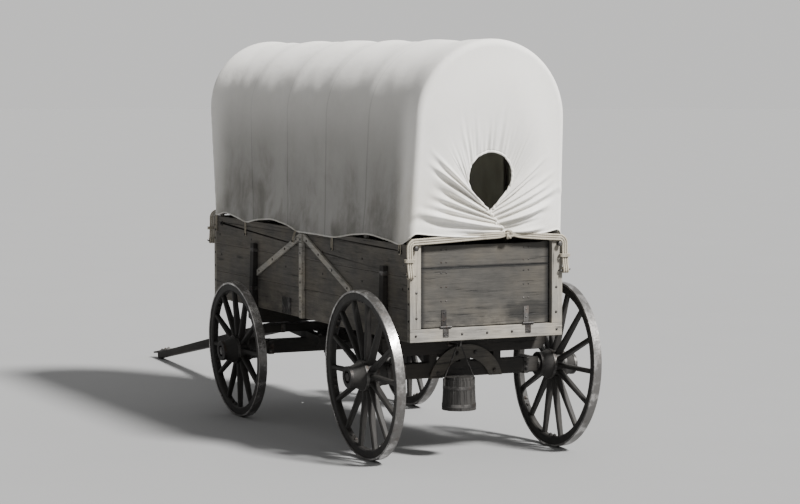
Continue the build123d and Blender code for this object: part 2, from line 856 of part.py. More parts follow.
# Irons of the box: end rods with washers, rub irons and the fixed leaves of the hinges
hinge_x = box_rear - 1
hinge_z = sill_top + hinge_radius + 1
rub_iron = (170, 6, 130)
rub_iron_behind = 620
rub_iron_rise = 5
leaf_length = 70
pin_lap = 2
washer_radius = 21
washer_thickness = 6
rod_nut_radius = 12
rod_nut_length = 10
rod_end = 4
washer_side = half_box + washer_thickness / 2
rod_nut_side = half_box + washer_thickness + rod_nut_length / 2
rod_height = box_top - rod_drop
with BuildPart() as box_irons:
    for rod_x in (rear_rod, front_rod):
        with Locations(Location((rod_x, 0, rod_height), (90, 0, 0))):
            Cylinder(rod_radius, 2 * (half_box + washer_thickness + rod_nut_length + rod_end))
        for side in (1, -1):
            with Locations(Location((rod_x, side * washer_side, rod_height), (90, 0, 0))):
                Cylinder(washer_radius, washer_thickness)
            with Locations(Location((rod_x, side * rod_nut_side, rod_height), (90, 0, 0))):
                Cylinder(rod_nut_radius, rod_nut_length)
    for side in (1, -1):
        rub_side = side * (half_box + rub_iron[1] / 2)
        with Locations((front_x - rub_iron_behind, rub_side, box_bottom + rub_iron_rise)):
            Box(*rub_iron, align=(Align.CENTER, Align.CENTER, Align.MIN))
    for hinge_y in (batten_offset, -batten_offset):
        with Locations((box_rear, hinge_y, hinge_z - leaf_length)):
            Box(strap_thickness, strap_width, leaf_length,
                align=(Align.MAX, Align.CENTER, Align.MIN))
        for end in (1, -1):
            middle = hinge_y + end * (hinge_knuckle / 2 + hinge_gap + hinge_side_knuckle / 2)
            with Locations(Location((hinge_x, middle, hinge_z), (90, 0, 0))):
                Cylinder(hinge_radius, hinge_side_knuckle)
        with Locations((hinge_x, hinge_y, hinge_z)):
            Box(4 * hinge_radius, hinge_knuckle + 2 * hinge_gap, 2 * (hinge_radius + hinge_gap),
                mode=Mode.SUBTRACT)
        with Locations(Location((hinge_x, hinge_y, hinge_z), (90, 0, 0))):
            Cylinder(hinge_pin_radius, hinge_knuckle + 2 * (hinge_gap + pin_lap))
box_irons.part.label = "box_irons"
export_step(box_irons.part, "parts/box_irons.step")

# Tailgate between the rear posts: one wide board and one narrow board, battened inside
tailgate_bottom = sill_top + tailgate_rise
tailgate_top = box_top - tailgate_drop
tailgate_width = 2 * (half_box - post_width - tailgate_gap)
tailgate_face = box_rear + tailgate_recess
tailgate_inside = tailgate_face + board_thickness
lower_height = tailgate_top - tailgate_upper - board_gap - tailgate_bottom
with BuildPart() as tailgate_boards:
    with Locations((tailgate_face, 0, tailgate_bottom)):
        Box(board_thickness, tailgate_width, lower_height,
            align=(Align.MIN, Align.CENTER, Align.MIN))
    with Locations((tailgate_face, 0, tailgate_top)):
        Box(board_thickness, tailgate_width, tailgate_upper,
            align=(Align.MIN, Align.CENTER, Align.MAX))
tailgate_boards.part.label = "tailgate_boards"
export_step(tailgate_boards.part, "parts/tailgate_boards.step")

with BuildPart() as tailgate_battens:
    for side in (1, -1):
        with Locations((tailgate_inside, side * batten_offset, tailgate_bottom + batten_inset)):
            Box(batten[1], batten[0], tailgate_top - tailgate_bottom - 2 * batten_inset,
                align=(Align.MIN, Align.CENTER, Align.MIN))
tailgate_battens.part.label = "tailgate_battens"
export_step(tailgate_battens.part, "parts/tailgate_battens.step")

# Cranked hinge straps on the outer face, each rolled into one knuckle round the pin
crank_height = hinge_z + hinge_radius
with BuildPart() as tailgate_straps:
    for hinge_y in (batten_offset, -batten_offset):
        with BuildSketch(Plane.XZ.offset(-hinge_y)):
            with BuildLine():
                Polyline(
                    (hinge_x, crank_height - strap_thickness),
                    (tailgate_face, crank_height - strap_thickness),
                    (tailgate_face, hinge_z + strap_length),
                    (tailgate_face - strap_thickness, hinge_z + strap_length),
                    (tailgate_face - strap_thickness, crank_height),
                    (hinge_x, crank_height),
                    close=True,
                )
            make_face()
        extrude(amount=hinge_knuckle / 2, both=True)
        with Locations(Location((hinge_x, hinge_y, hinge_z), (90, 0, 0))):
            Cylinder(hinge_radius, hinge_knuckle)
        with Locations(Location((hinge_x, hinge_y, hinge_z), (90, 0, 0))):
            Cylinder(hinge_pin_radius + hinge_bore_clearance, hinge_knuckle, mode=Mode.SUBTRACT)
tailgate_straps.part.label = "tailgate_straps"
export_step(tailgate_straps.part, "parts/tailgate_straps.step")


def lean_plane(place_x, lean):
    """Plane across the wagon, standing on the box's top line and leaning forward."""
    angle = radians(lean)
    return Plane(
        origin=(place_x, 0, box_top), x_dir=(0, 1, 0), z_dir=(cos(angle), 0, -sin(angle))
    )


# Where the canvas turns from the sides to its gathered ends, measured on the box's top line
rear_crease = box_rear + rear_end_inset + end_depth
front_crease = box_front - front_end_inset - end_depth

# Bows stand inside the side boards; the end ones lean with the canvas
bow_inset = bow_width / 2 + 2
first_bow = rear_crease + bow_inset
last_bow = front_crease - bow_inset
bow_pitch = (last_bow - first_bow) / (bow_count - 1)
bow_leans = [rear_lean] + [0] * (bow_count - 2) + [front_lean]
bow_inner = bow_radius - bow_thickness
with BuildPart() as bows:
    for number, lean in enumerate(bow_leans):
        stretch = 1 / cos(radians(lean))
        bow_foot = -bow_depth_in_box * stretch
        springing = spring_height * stretch
        with BuildSketch(lean_plane(first_bow + number * bow_pitch, lean)):
            with BuildLine():
                Polyline((bow_inner, springing), (bow_inner, bow_foot), (bow_radius, bow_foot),
                         (bow_radius, springing))
                ThreePointArc((bow_radius, springing), (0, springing + bow_radius),
                              (-bow_radius, springing))
                Polyline((-bow_radius, springing), (-bow_radius, bow_foot),
                         (-bow_inner, bow_foot), (-bow_inner, springing))
                ThreePointArc((-bow_inner, springing), (0, springing + bow_inner),
                              (bow_inner, springing))
            make_face()
        extrude(amount=bow_width / 2, both=True)
bows.part.label = "bows"
export_step(bows.part, "parts/bows.step")

# Ridge pole under the upright bows
pole_width = 46
pole_thickness = 16
pole_length = bow_pitch * (bow_count - 3) + 4 * bow_width
pole_gap = 1
with BuildPart() as ridge_pole:
    with Locations((box_middle, 0, arch_centre + bow_inner - pole_gap)):
        Box(pole_length, pole_width, pole_thickness,
            align=(Align.CENTER, Align.CENTER, Align.MAX))
ridge_pole.part.label = "ridge_pole"
export_step(ridge_pole.part, "parts/ridge_pole.step")


def cover_outline(inset, low):
    """Closed outline of the cover: slanted sides tangent to a round top."""
    radius = bow_radius + canvas_gap + canvas_thickness - inset
    hem_y = half_box + hem_stand_off - inset
    hem_z = box_top - hem_drop
    span = hypot(hem_y, arch_centre - hem_z)
    touch = acos(radius / span) - atan2(arch_centre - hem_z, hem_y)
    touch_y = radius * cos(touch)
    touch_z = arch_centre + radius * sin(touch)
    low_y = hem_y + (touch_y - hem_y) * (low - hem_z) / (touch_z - hem_z)
    with BuildLine() as line:
        Line((low_y, low), (touch_y, touch_z))
        ThreePointArc((touch_y, touch_z), (0, arch_centre + radius), (-touch_y, touch_z))
        Polyline((-touch_y, touch_z), (-low_y, low), (low_y, low))
    return line.line


# Canvas over the bows, open at both ends and below
hem = box_top - hem_drop
outside = cover_outline(0, hem)
inside = cover_outline(canvas_thickness, hem)
long_way = 2 * box_length
with BuildPart() as cover_sheet:
    with BuildSketch(Plane.YZ.offset(-long_way / 2)):
        with BuildLine():
            add(outside)
        make_face()
        with BuildLine():
            add(inside)
        make_face(mode=Mode.SUBTRACT)
    extrude(amount=long_way)
    split(bisect_by=lean_plane(rear_crease, rear_lean), keep=Keep.TOP)
    split(bisect_by=lean_plane(front_crease, front_lean), keep=Keep.BOTTOM)
cover_sheet.part.label = "cover_sheet"
export_step(cover_sheet.part, "parts/cover_sheet.step")


def end_block(inset, low, crease_x, lean, toward):
    """Solid slab of the cover at one leaning end, its outer crease rounded."""
    start = lean_plane(crease_x, lean).offset(-toward * inset)
    face = lean_plane(crease_x, lean).offset(toward * (end_depth - inset))
    with BuildPart() as block:
        with BuildSketch(Plane.YZ.offset(-long_way / 2)):
            with BuildLine():
                add(cover_outline(inset, low))
            make_face()
        extrude(amount=long_way)
        split(bisect_by=start, keep=Keep.TOP if toward > 0 else Keep.BOTTOM)
        split(bisect_by=face, keep=Keep.BOTTOM if toward > 0 else Keep.TOP)
        by_way = block.faces().sort_by(Axis(face.origin, face.z_dir))
        outer_face = by_way[-1] if toward > 0 else by_way[0]
        fillet(outer_face.edges().sort_by(Axis.Z)[1:], end_crease_radius - inset)
    return block


# Gathered ends of the canvas: shallow pans with a rounded crease and a drawn teardrop hole
end_bottom = box_top + end_lift
end_cut = 20
hole_radius = hole_width / 2
hole_centre = hole_bottom + hole_height - hole_radius
hole_turn = acos(hole_radius / (hole_centre - hole_bottom))
hole_side = (hole_radius * sin(hole_turn), hole_centre - hole_radius * cos(hole_turn))

# name, crease's X, lean, direction of the end (1 is forward)
canvas_ends = [
    ("cover_rear_end", rear_crease, rear_lean, -1),
    ("cover_front_end", front_crease, front_lean, 1),
]
for end_name, crease_x, lean, toward in canvas_ends:
    outer_block = end_block(0, end_bottom, crease_x, lean, toward)
    inner_block = end_block(canvas_thickness, end_bottom - end_cut, crease_x, lean, toward)
    with BuildPart() as canvas_end:
        add(outer_block.part)
        add(inner_block.part, mode=Mode.SUBTRACT)
        with BuildSketch(lean_plane(crease_x, lean).offset(toward * end_depth)):
            with BuildLine():
                Line((0, hole_bottom), hole_side)
                ThreePointArc(hole_side, (0, hole_centre + hole_radius),
                              (-hole_side[0], hole_side[1]))
                Line((-hole_side[0], hole_side[1]), (0, hole_bottom))
            make_face()
        extrude(amount=2 * canvas_thickness, both=True, mode=Mode.SUBTRACT)
    canvas_end.part.label = end_name
    export_step(canvas_end.part, f"parts/{end_name}.step")

# Iron arm behind the rear bolster that the tar bucket hangs on
arm_end_beyond = 26
arm_end_rise = 44
arm_bend = 16
arm_plate_radius = 22
arm_plate_thickness = 6
bucket_x = rear_x - bucket_behind_axle
arm_tip_x = bucket_x - arm_end_beyond
arm_root_x = rear_x - half_axle
with BuildPart() as bucket_arm:
    with BuildLine():
        FilletPolyline(
            (arm_root_x, bucket_side, bucket_arm_height),
            (arm_tip_x, bucket_side, bucket_arm_height),
            (arm_tip_x, bucket_side, bucket_arm_height + arm_end_rise),
            radius=arm_bend,
        )
    with BuildSketch(Plane.YZ.offset(arm_root_x)):
        with Locations((bucket_side, bucket_arm_height)):
            Circle(bucket_arm_radius)
    sweep()
    with Locations(Location((arm_root_x, bucket_side, bucket_arm_height), (0, 90, 0))):
        Cylinder(arm_plate_radius, arm_plate_thickness,
                 align=(Align.CENTER, Align.CENTER, Align.MAX))
bucket_arm.part.label = "bucket_arm"
export_step(bucket_arm.part, "parts/bucket_arm.step")

# Tar bucket: tapered staves with a lid, two hoops and a bail round the arm
bucket_top = bucket_bottom + bucket_height
with BuildPart() as tar_bucket:
    with BuildSketch(Plane.XY.offset(bucket_bottom)):
        with Locations((bucket_x, bucket_side)):
            Circle(bucket_bottom_radius)
    with BuildSketch(Plane.XY.offset(bucket_top)):
        with Locations((bucket_x, bucket_side)):
            Circle(bucket_top_radius)
    loft()
    with BuildSketch(Plane.XY.offset(bucket_top)):
        with Locations((bucket_x, bucket_side)):
            Circle(bucket_top_radius - bucket_lid_inset)
    extrude(amount=bucket_lid_height)
tar_bucket.part.label = "tar_bucket"
export_step(tar_bucket.part, "parts/tar_bucket.step")

hoop_places = (22, 150)
hoop_height = 24
hoop_thickness = 2
bucket_taper = (bucket_bottom_radius - bucket_top_radius) / bucket_height
with BuildPart() as bucket_hoops:
    for hoop_low in hoop_places:
        low_radius = bucket_bottom_radius - bucket_taper * hoop_low
        high_radius = low_radius - bucket_taper * hoop_height
        with BuildSketch(Plane.XZ.offset(-bucket_side)):
            with BuildLine():
                Polyline(
                    (bucket_x + low_radius, bucket_bottom + hoop_low),
                    (bucket_x + low_radius + hoop_thickness, bucket_bottom + hoop_low),
                    (bucket_x + high_radius + hoop_thickness, bucket_bottom + hoop_low + hoop_height),
                    (bucket_x + high_radius, bucket_bottom + hoop_low + hoop_height),
                    close=True,
                )
            make_face()
        revolve(axis=Axis((bucket_x, bucket_side, 0), (0, 0, 1)))
bucket_hoops.part.label = "bucket_hoops"
export_step(bucket_hoops.part, "parts/bucket_hoops.step")

loop_radius = bucket_arm_radius + bail_clearance + bail_radius
ear = (26, 6, 52)
ear_gap = 5
ear_rise = 8
ear_y = bucket_top_radius + ear_gap + ear[1] / 2
ear_top = bucket_top + ear_rise
leg_span = hypot(ear_y, bucket_arm_height - ear_top)
leg_turn = acos(loop_radius / leg_span) - atan2(bucket_arm_height - ear_top, ear_y)
leg_y = loop_radius * cos(leg_turn)
leg_z = bucket_arm_height + loop_radius * sin(leg_turn)
leg_way = (0, leg_y - ear_y, leg_z - ear_top)
with BuildPart() as bucket_bail:
    with BuildLine() as bail_path:
        Line((bucket_x, bucket_side + ear_y, ear_top), (bucket_x, bucket_side + leg_y, leg_z))
        ThreePointArc(
            (bucket_x, bucket_side + leg_y, leg_z),
            (bucket_x, bucket_side, bucket_arm_height + loop_radius),
            (bucket_x, bucket_side - leg_y, leg_z),
        )
        Line((bucket_x, bucket_side - leg_y, leg_z), (bucket_x, bucket_side - ear_y, ear_top))
    with BuildSketch(Plane(origin=(bucket_x, bucket_side + ear_y, ear_top), z_dir=leg_way)):
        Circle(bail_radius)
    sweep()
    for side in (1, -1):
        with Locations((bucket_x, bucket_side + side * ear_y, ear_top + bail_radius)):
            Box(*ear, align=(Align.CENTER, Align.CENTER, Align.MAX))
bucket_bail.part.label = "bucket_bail"
export_step(bucket_bail.part, "parts/bucket_bail.step")
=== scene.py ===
import math
from itertools import product

import bpy
import numpy as np
from bpy.props import FloatProperty, FloatVectorProperty, IntProperty, PointerProperty
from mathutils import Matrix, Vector


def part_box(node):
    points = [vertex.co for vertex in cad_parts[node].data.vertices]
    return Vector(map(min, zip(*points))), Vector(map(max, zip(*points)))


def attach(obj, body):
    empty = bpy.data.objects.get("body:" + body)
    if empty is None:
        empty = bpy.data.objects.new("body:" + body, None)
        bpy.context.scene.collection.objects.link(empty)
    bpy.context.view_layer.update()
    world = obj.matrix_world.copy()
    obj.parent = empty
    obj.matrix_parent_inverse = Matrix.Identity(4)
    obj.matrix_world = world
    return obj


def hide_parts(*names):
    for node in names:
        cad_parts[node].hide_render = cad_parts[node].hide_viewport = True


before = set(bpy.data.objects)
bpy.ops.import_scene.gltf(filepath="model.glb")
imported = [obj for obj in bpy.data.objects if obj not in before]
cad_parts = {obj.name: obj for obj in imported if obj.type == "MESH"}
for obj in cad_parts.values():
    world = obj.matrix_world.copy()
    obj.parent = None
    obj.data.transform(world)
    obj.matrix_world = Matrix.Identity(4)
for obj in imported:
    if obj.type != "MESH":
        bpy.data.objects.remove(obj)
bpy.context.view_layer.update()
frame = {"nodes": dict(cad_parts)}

bl_info = {
    "name": "Covered Wagon",
    "version": (1, 0, 0),
    "blender": (4, 5, 0),
    "location": "3D View > Sidebar > Wagon",
    "description": "Dresses the packed wagon: canvas cover, ropes, irons and weathered finishes",
    "category": "Object",
}

posts_low, posts_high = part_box("corner_posts")
gate_low, gate_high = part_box("tailgate_boards")
box_bottom, box_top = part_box("side_boards")[0].z, posts_high.z
box_rear, box_front, half_box = posts_low.x, posts_high.x, posts_high.y
box_middle = (box_rear + box_front) / 2
sill_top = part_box("head_boards")[0].z
rear_axle_x, front_axle_x = (sum(corner.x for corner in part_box(axle)) / 2
                             for axle in ("rear_axle", "front_axle"))

TONGUE_SLOPE = math.radians(10.88)
EYE_MIDDLE = np.array([3.48365, 0.0, 0.05258])
WHEEL_CANT = math.radians(3)
# name, outer radius, spokes
WHEELS = [("rear_left", 0.610, 14), ("rear_right", 0.610, 14),
          ("front_left", 0.540, 12), ("front_right", 0.540, 12)]
HINGE_SIDE = 0.330      # from the centre line to a hinge of the tailgate
CLIP_SIDE = 0.500       # from the centre line to a clip of an axle

PEG_SIDE, PEG_Z = 0.575, box_top - 0.021    # middle of a tie's peg
BAR_SIDE, BAR_Z = 0.620, box_top - 0.215    # middle of the bar that a tie ends on
BAND_STEP = 0.0165      # from one strand of a tie to the next
TIE_RADIUS, CORD_RADIUS = 0.0080, 0.0038
HEM_EYE_SIDE = 0.6175   # from the centre line to the eyes in the side hem

THREADS = 420           # of the canvas, to the metre
CLOTH_WIDTH = 0.74      # from one seam of the canvas to the next


def metres(name, description, default):
    return FloatProperty(name=name, description=description, default=default, unit="LENGTH")


def degrees(name, description, default):
    return FloatProperty(name=name, description=description, default=math.radians(default),
                         unit="ROTATION")


def paint(name, description, default):
    return FloatVectorProperty(name=name, description=description, default=default,
                               subtype="COLOR")


class CoverSizes(bpy.types.PropertyGroup):
    """The canvas cover, as it is cut and drawn together over its bows."""

    round_radius: metres("Round radius", "Outer radius of the cover's round top", 0.590)
    arch_height: metres(
        "Arch height", "Height of the middle of the round top above the ground", 2.410)
    hem_side: metres("Hem side", "Distance of the side hem from the centre line", 0.615)
    end_hem: metres("End hem", "Height of the hem above the box across the cover's ends", 0.090)
    rear_inset: metres("Rear inset", "Distance of the rear crease from the box's rear", 0.064)
    front_inset: metres("Front inset", "Distance of the front crease from the box's front", 0.076)
    rear_lean: degrees("Rear lean", "Lean of the rear end, forward is positive", -5)
    front_lean: degrees("Front lean", "Lean of the front end, forward is positive", 11)
    bow_inset: metres("Bow inset", "Distance of the end bows from the creases", 0.027)
    bow_width: metres("Bow width", "Width of a bow under the canvas", 0.050)
    bows: IntProperty(name="Bows", description="Number of bows under the canvas", default=6)
    end_depth: metres("End depth", "How far an end face stands out from its crease", 0.060)
    crease_radius: metres("Crease radius", "Radius of the turn from the side to the end", 0.052)
    hole_radius: metres("Hole radius", "Radius of the round part of the drawn hole", 0.178)
    hole_tip: metres("Hole tip", "Height of the hole's point above the box", 0.225)
    hole_centre: metres("Hole centre", "Height of the hole's round part above the box", 0.482)
    knot_side: metres("Knot side", "Distance of the rear knot from the centre line", -0.160)
    knot_height: metres("Knot height", "Height of the knot above the box", 0.058)
    slit_share: FloatProperty(
        name="Slit share", description="Share of each half of the drawn edge along the closed slit",
        default=0.27, subtype="FACTOR")
    sag: metres("Sag", "How far the canvas sags between two bows", 0.017)
    gather: metres("Gather", "Height of the gathers at the drawn edge", 0.020)
    gathers: IntProperty(
        name="Gathers", description="Number of gathers round each hole", default=38)
    thickness: metres("Thickness", "Thickness of the canvas", 0.0025)
    seed: IntProperty(name="Seed", description="Pattern of the gathers", default=7)


class WagonTones(bpy.types.PropertyGroup):
    """Base colours of the weathered wood, iron, canvas and rope."""

    boards: paint("Boards", "Colour of the box's boards", (0.104, 0.098, 0.089))
    gate: paint("Tailgate", "Colour of the tailgate's boards", (0.055, 0.052, 0.047))
    frame: paint("Frame", "Colour of the posts, sills and bows", (0.250, 0.239, 0.218))
    pale: paint(
        "Pale framing", "Colour of the bleached standards and braces", (0.35, 0.338, 0.31))
    gear: paint("Gear", "Colour of the running gear and wheels", (0.023, 0.021, 0.019))
    iron: paint("Iron", "Colour of the forged iron", (0.045, 0.043, 0.042))
    tread: paint("Tread", "Colour of the tyres' worn tread", (0.17, 0.165, 0.16))
    canvas: paint("Canvas", "Colour of the clean canvas", (0.83, 0.815, 0.775))
    rope: paint("Rope", "Colour of the hemp rope", (0.50, 0.455, 0.37))


class StageSizes(bpy.types.PropertyGroup):
    """Camera, floor and lights."""

    lens: FloatProperty(name="Lens", description="Focal length", default=112.2, unit="CAMERA")
    camera_turn: degrees(
        "Camera turn", "Turn of the camera to the left of the wagon's rear", 27.1)
    camera_distance: metres(
        "Camera distance", "Level distance from the rear axle to the camera", 18.0)
    camera_height: metres("Camera height", "Height of the camera", 2.87)
    floor: paint("Floor", "Colour of the floor", (0.262, 0.264, 0.267))
    sun: FloatProperty(name="Sun", description="Strength of the soft sun", default=9.5)
    sky: FloatProperty(
        name="Sky", description="Strength of the soft light from the right and behind",
        default=0.80)
    shade: FloatProperty(
        name="Shade", description="Strength of the soft light from the left", default=0.24)


class Value:
    """A number or colour that varies over a surface; operators add the nodes that work it out."""

    def __init__(self, finish, socket):
        self.finish = finish
        self.socket = socket

    def maths(self, operation, *terms):
        return self.finish.node("ShaderNodeMath", {"operation": operation}, dict(enumerate(terms)))

    def __add__(self, other):
        return self.maths("ADD", self, other)

    __radd__ = __add__

    def __sub__(self, other):
        return self.maths("SUBTRACT", self, other)

    def __rsub__(self, other):
        return self.maths("SUBTRACT", other, self)

    def __mul__(self, other):
        return self.maths("MULTIPLY", self, other)

    __rmul__ = __mul__

    def __truediv__(self, other):
        return self.maths("DIVIDE", self, other)

    def power(self, other):
        return self.maths("POWER", self, other)

    def floor(self):
        return self.maths("FLOOR", self)

    def wave(self):
        return self.maths("SINE", self)

    def size(self):
        return self.maths("ABSOLUTE", self)

    def rise(self, low, high):
        """0 at low, 1 at high and a smooth step between them, also where high is below low."""
        return self.finish.node(
            "ShaderNodeMapRange", {"interpolation_type": "SMOOTHSTEP", "clamp": True},
            {"Value": self, "From Min": low, "From Max": high, "To Min": 0.0, "To Max": 1.0})


class NodeMaker:
    """Adds nodes to one node tree and feeds the sockets of its shader."""

    def __init__(self, tree, shader):
        self.tree = tree
        self.shader = tree.nodes[shader]

    def put(self, socket, value):
        """Links a socket to a Value, or sets it to anything else."""
        if isinstance(value, Value):
            self.tree.links.new(value.socket, socket)
        else:
            socket.default_value = value

    def node(self, kind, settings=None, inputs=None, output=0):
        """Adds a node: its settings first, then the values or links of its sockets."""
        made = self.tree.nodes.new(kind)
        for name, value in (settings or {}).items():
            setattr(made, name, value)
        for name, value in (inputs or {}).items():
            self.put(made.inputs[name], value)
        return Value(self, made.outputs[output])

    def feed(self, **values):
        """Puts values into the shader's sockets, named with _ for a space."""
        for name, value in values.items():
            self.put(self.shader.inputs[name.replace("_", " ")], value)

    def axes(self, vector):
        """The three numbers of a vector."""
        parts = self.node("ShaderNodeSeparateXYZ", None, {"Vector": vector}).socket.node
        return [Value(self, socket) for socket in parts.outputs]

    def vector(self, x, y, z):
        return self.node("ShaderNodeCombineXYZ", None, {"X": x, "Y": y, "Z": z})


class Finish(NodeMaker):
    """A procedural material being built: its constants, its patterns and what they feed."""

    def __init__(self, name, **constants):
        self.material = bpy.data.materials.new(name)
        self.material.use_nodes = True
        super().__init__(self.material.node_tree, "Principled BSDF")
        self.feed(**constants)

    def place(self, moved=(0, 0, 0)):
        """Object coordinates through a Mapping node."""
        raw = self.node("ShaderNodeTexCoord", output="Object")
        return self.node("ShaderNodeMapping", None, {"Vector": raw, "Location": moved})

    def own_cut(self):
        """The piece's own flat layout, in metres: across or around it, and along it."""
        return self.axes(self.node("ShaderNodeUVMap", {"uv_map": "cut"}))[:2]

    def noise(self, vector, scale, detail=3.0, roughness=0.55, distortion=0.0):
        return self.node("ShaderNodeTexNoise", None,
                         {"Vector": vector, "Scale": scale, "Detail": detail,
                          "Roughness": roughness, "Distortion": distortion}, "Fac")

    def chance(self, number):
        """A steady random number, 0 to 1, for each whole number."""
        return self.node("ShaderNodeTexWhiteNoise", {"noise_dimensions": "1D"}, {"W": number},
                         "Value")

    def blend(self, share, first, second):
        """Two colours mixed by a share."""
        mix = self.node("ShaderNodeMix", {"data_type": "RGBA"}, {"Factor": share}).socket.node
        colours = {"A": first, "B": second}
        for socket in mix.inputs:
            if socket.name in colours and socket.type == "RGBA":
                value = colours[socket.name]
                self.put(socket, value if isinstance(value, Value) else (*value, 1.0))
        return Value(self, next(s for s in mix.outputs if s.type == "RGBA"))

    def shaded(self, colour, factor):
        """A colour made lighter or darker by a number."""
        grey = self.vector(factor, factor, factor)
        return self.node("ShaderNodeVectorMath", {"operation": "MULTIPLY"}, {0: colour, 1: grey})

    def relief(self, height, depth, strength, below=None):
        """A Bump node: its height times depth, in metres, over the relief below it."""
        inputs = {"Height": height, "Distance": depth, "Strength": strength}
        if below is not None:
            inputs["Normal"] = below
        return self.node("ShaderNodeBump", None, inputs)

    def finished(self, colour, level, roughness, *relief):
        """The material, fed with its colour times its level, its roughness and its relief."""
        self.feed(Base_Color=self.shaded(colour, level), Roughness=roughness,
                  Normal=self.relief(*relief))
        return self.material


def tinted(colour, *factors):
    """A colour with its three parts multiplied."""
    return tuple(part * factor for part, factor in zip(colour, factors))


def board_finish(name, tone, run, stack, first=-5.0, pitch=9.0, dirt=0.0, wear=0.1, dark_patch_and_recess_shade=None):
    """Weathered boards. Grain is noise drawn out along the run; each board has its own tone.

    run and stack are 0, 1 or 2: the axis along the boards and the one across their stack. first
    and pitch place the joints, by default so far apart that there is none, and the tone of a
    board is a random number of its row. dirt is the height that splashed mud fades out above.
    dark_patch_and_recess_shade is the place, half length and half height of a dark patch, and
    the distance from the middle where painted shade, the shadow of the recess beside the corner
    posts, has grown to full strength on the gate's two ends.
    """
    made = Finish(name, IOR=1.45)
    point = made.place()
    axes = made.axes(point)
    joints = (axes[stack] - first) / pitch
    row = joints.floor()
    own = made.chance(row + 7.0)
    squeezed = list(axes)
    squeezed[run] = (axes[run] + own * 9.0) * 0.055
    long_grain = made.vector(*squeezed)
    fibre = made.noise(long_grain, 210.0, 3.0, 0.65)
    streak = made.noise(long_grain, 46.0, 4.0, 0.6, 0.35)
    patch = made.noise(point, 3.2, 3.0, 0.6)
    blotch = made.noise(made.vector(axes[0] * 0.7, axes[1], axes[2] * 1.6), 9.0, 4.0, 0.62)
    edge = (joints - row - 0.5).size().rise(0.455 if wear < 0 else 0.462, 0.496)
    crack = streak.rise(0.37, 0.33)
    level = (0.62 + own * 0.34 + (fibre - 0.5) * 0.85 + (streak - 0.5) * 1.15
             + (patch - 0.5) * 0.9 + (blotch - 0.5) * 0.5 + edge * wear)
    level = level * (1.0 - crack * 0.55)
    warm = made.blend(patch.rise(0.35, 0.7), tone, tinted(tone, 1.06, 1.0, 0.9))
    if dark_patch_and_recess_shade:
        middle, height, half_long, half_high, recess_shade_edge = dark_patch_and_recess_shade
        # a dark patch near the gate's lower right, its edge broken by noise
        far = (((axes[run] - middle) / half_long).power(2.0)
               + ((axes[2] - height) / half_high).power(2.0)).power(0.5)
        dark_patch = (far + (patch - 0.5) * 1.6 + (streak - 0.5) * 1.2).rise(1.15, 0.55)
        level = level * (1.0 - dark_patch * 0.62)
        # painted shade: the gate's two ends darkened for the shadow where it sits recessed between
        # the corner posts
        level = level * (1.0 - axes[run].size().rise(recess_shade_edge - 0.040, recess_shade_edge) * 0.85)
    if dirt:
        mud = axes[2].rise(dirt + 0.30, dirt) * blotch.rise(0.36, 0.66)
        warm = made.blend(mud * 0.65, warm, (0.17, 0.155, 0.13))
    return made.finished(warm, level, 0.78 + (streak - 0.5) * 0.22 - edge * 0.06,
                         fibre * 0.35 + streak * 0.9 - crack * 0.8 + blotch * 0.5, 0.0022, 0.85)


def wheel_finish(name, tone, centre, lean):
    """Wood of a wheel: grain runs out along the spokes, worked out in the wheel's own plane.

    The distance from the axle and the turn about it come from the place's two in-plane numbers.
    """
    made = Finish(name, IOR=1.45)
    point = made.place(moved=tuple(-c for c in centre))
    x, y, z = made.axes(point)
    flat = z * math.cos(lean) + y * math.sin(lean)
    deep = y * math.cos(lean) - z * math.sin(lean)
    far = (x * x + flat * flat).power(0.5)
    turn = flat.maths("ARCTAN2", flat, x)
    grain = made.noise(made.vector(far * 0.8, turn * 4.5, deep * 8.0), 14.0, 4.0, 0.62, 0.2)
    fibre = made.noise(made.vector(far * 1.2, turn * 9.0, deep * 20.0), 22.0, 2.0, 0.6)
    dust = made.noise(point, 5.0, 4.0, 0.62)
    caked = far.rise(0.30, 0.56) * dust.rise(0.42, 0.66)
    level = 0.62 + (grain - 0.5) * 1.3 + (fibre - 0.5) * 0.6 + (dust - 0.5) * 0.9
    return made.finished(made.blend(caked * 0.28, tone, (0.090, 0.084, 0.075)), level,
                         0.66 + (dust - 0.5) * 0.35,
                         grain * 0.8 + fibre * 0.4 + dust * 0.4, 0.0018, 0.8)


def stave_finish(name, tone, centre, staves):
    """Tarred bucket staves: the turn about the bucket's middle is cut into equal staves.

    A stave's joint is where its share of the turn is near 0 or 1, and tar shines in soft runs.
    """
    made = Finish(name, IOR=1.5)
    x, y, z = made.axes(made.place(moved=(-centre.x, -centre.y, 0.0)))
    turn = y.maths("ARCTAN2", y, x) * (staves / (2 * math.pi)) + 50.0
    stave = turn.floor()
    joint = (turn - stave - 0.5).size().rise(0.465, 0.495)
    own = made.chance(stave)
    grain = made.noise(made.vector(x * 30.0, y * 30.0, z * 2.2 + own * 5.0), 5.0, 4.0, 0.62)
    runs = made.noise(made.vector(turn * 0.9, z * 1.4, own), 3.4, 3.0, 0.6).rise(0.48, 0.62)
    level = 0.55 + own * 0.5 + (grain - 0.5) * 1.2 - joint * 0.5
    return made.finished(made.blend(runs * 0.8, tone, (0.012, 0.011, 0.010)), level,
                         0.62 - runs * 0.36 + grain * 0.1,
                         grain * 0.5 - joint * 1.4 + runs * 0.6, 0.0022, 0.9)


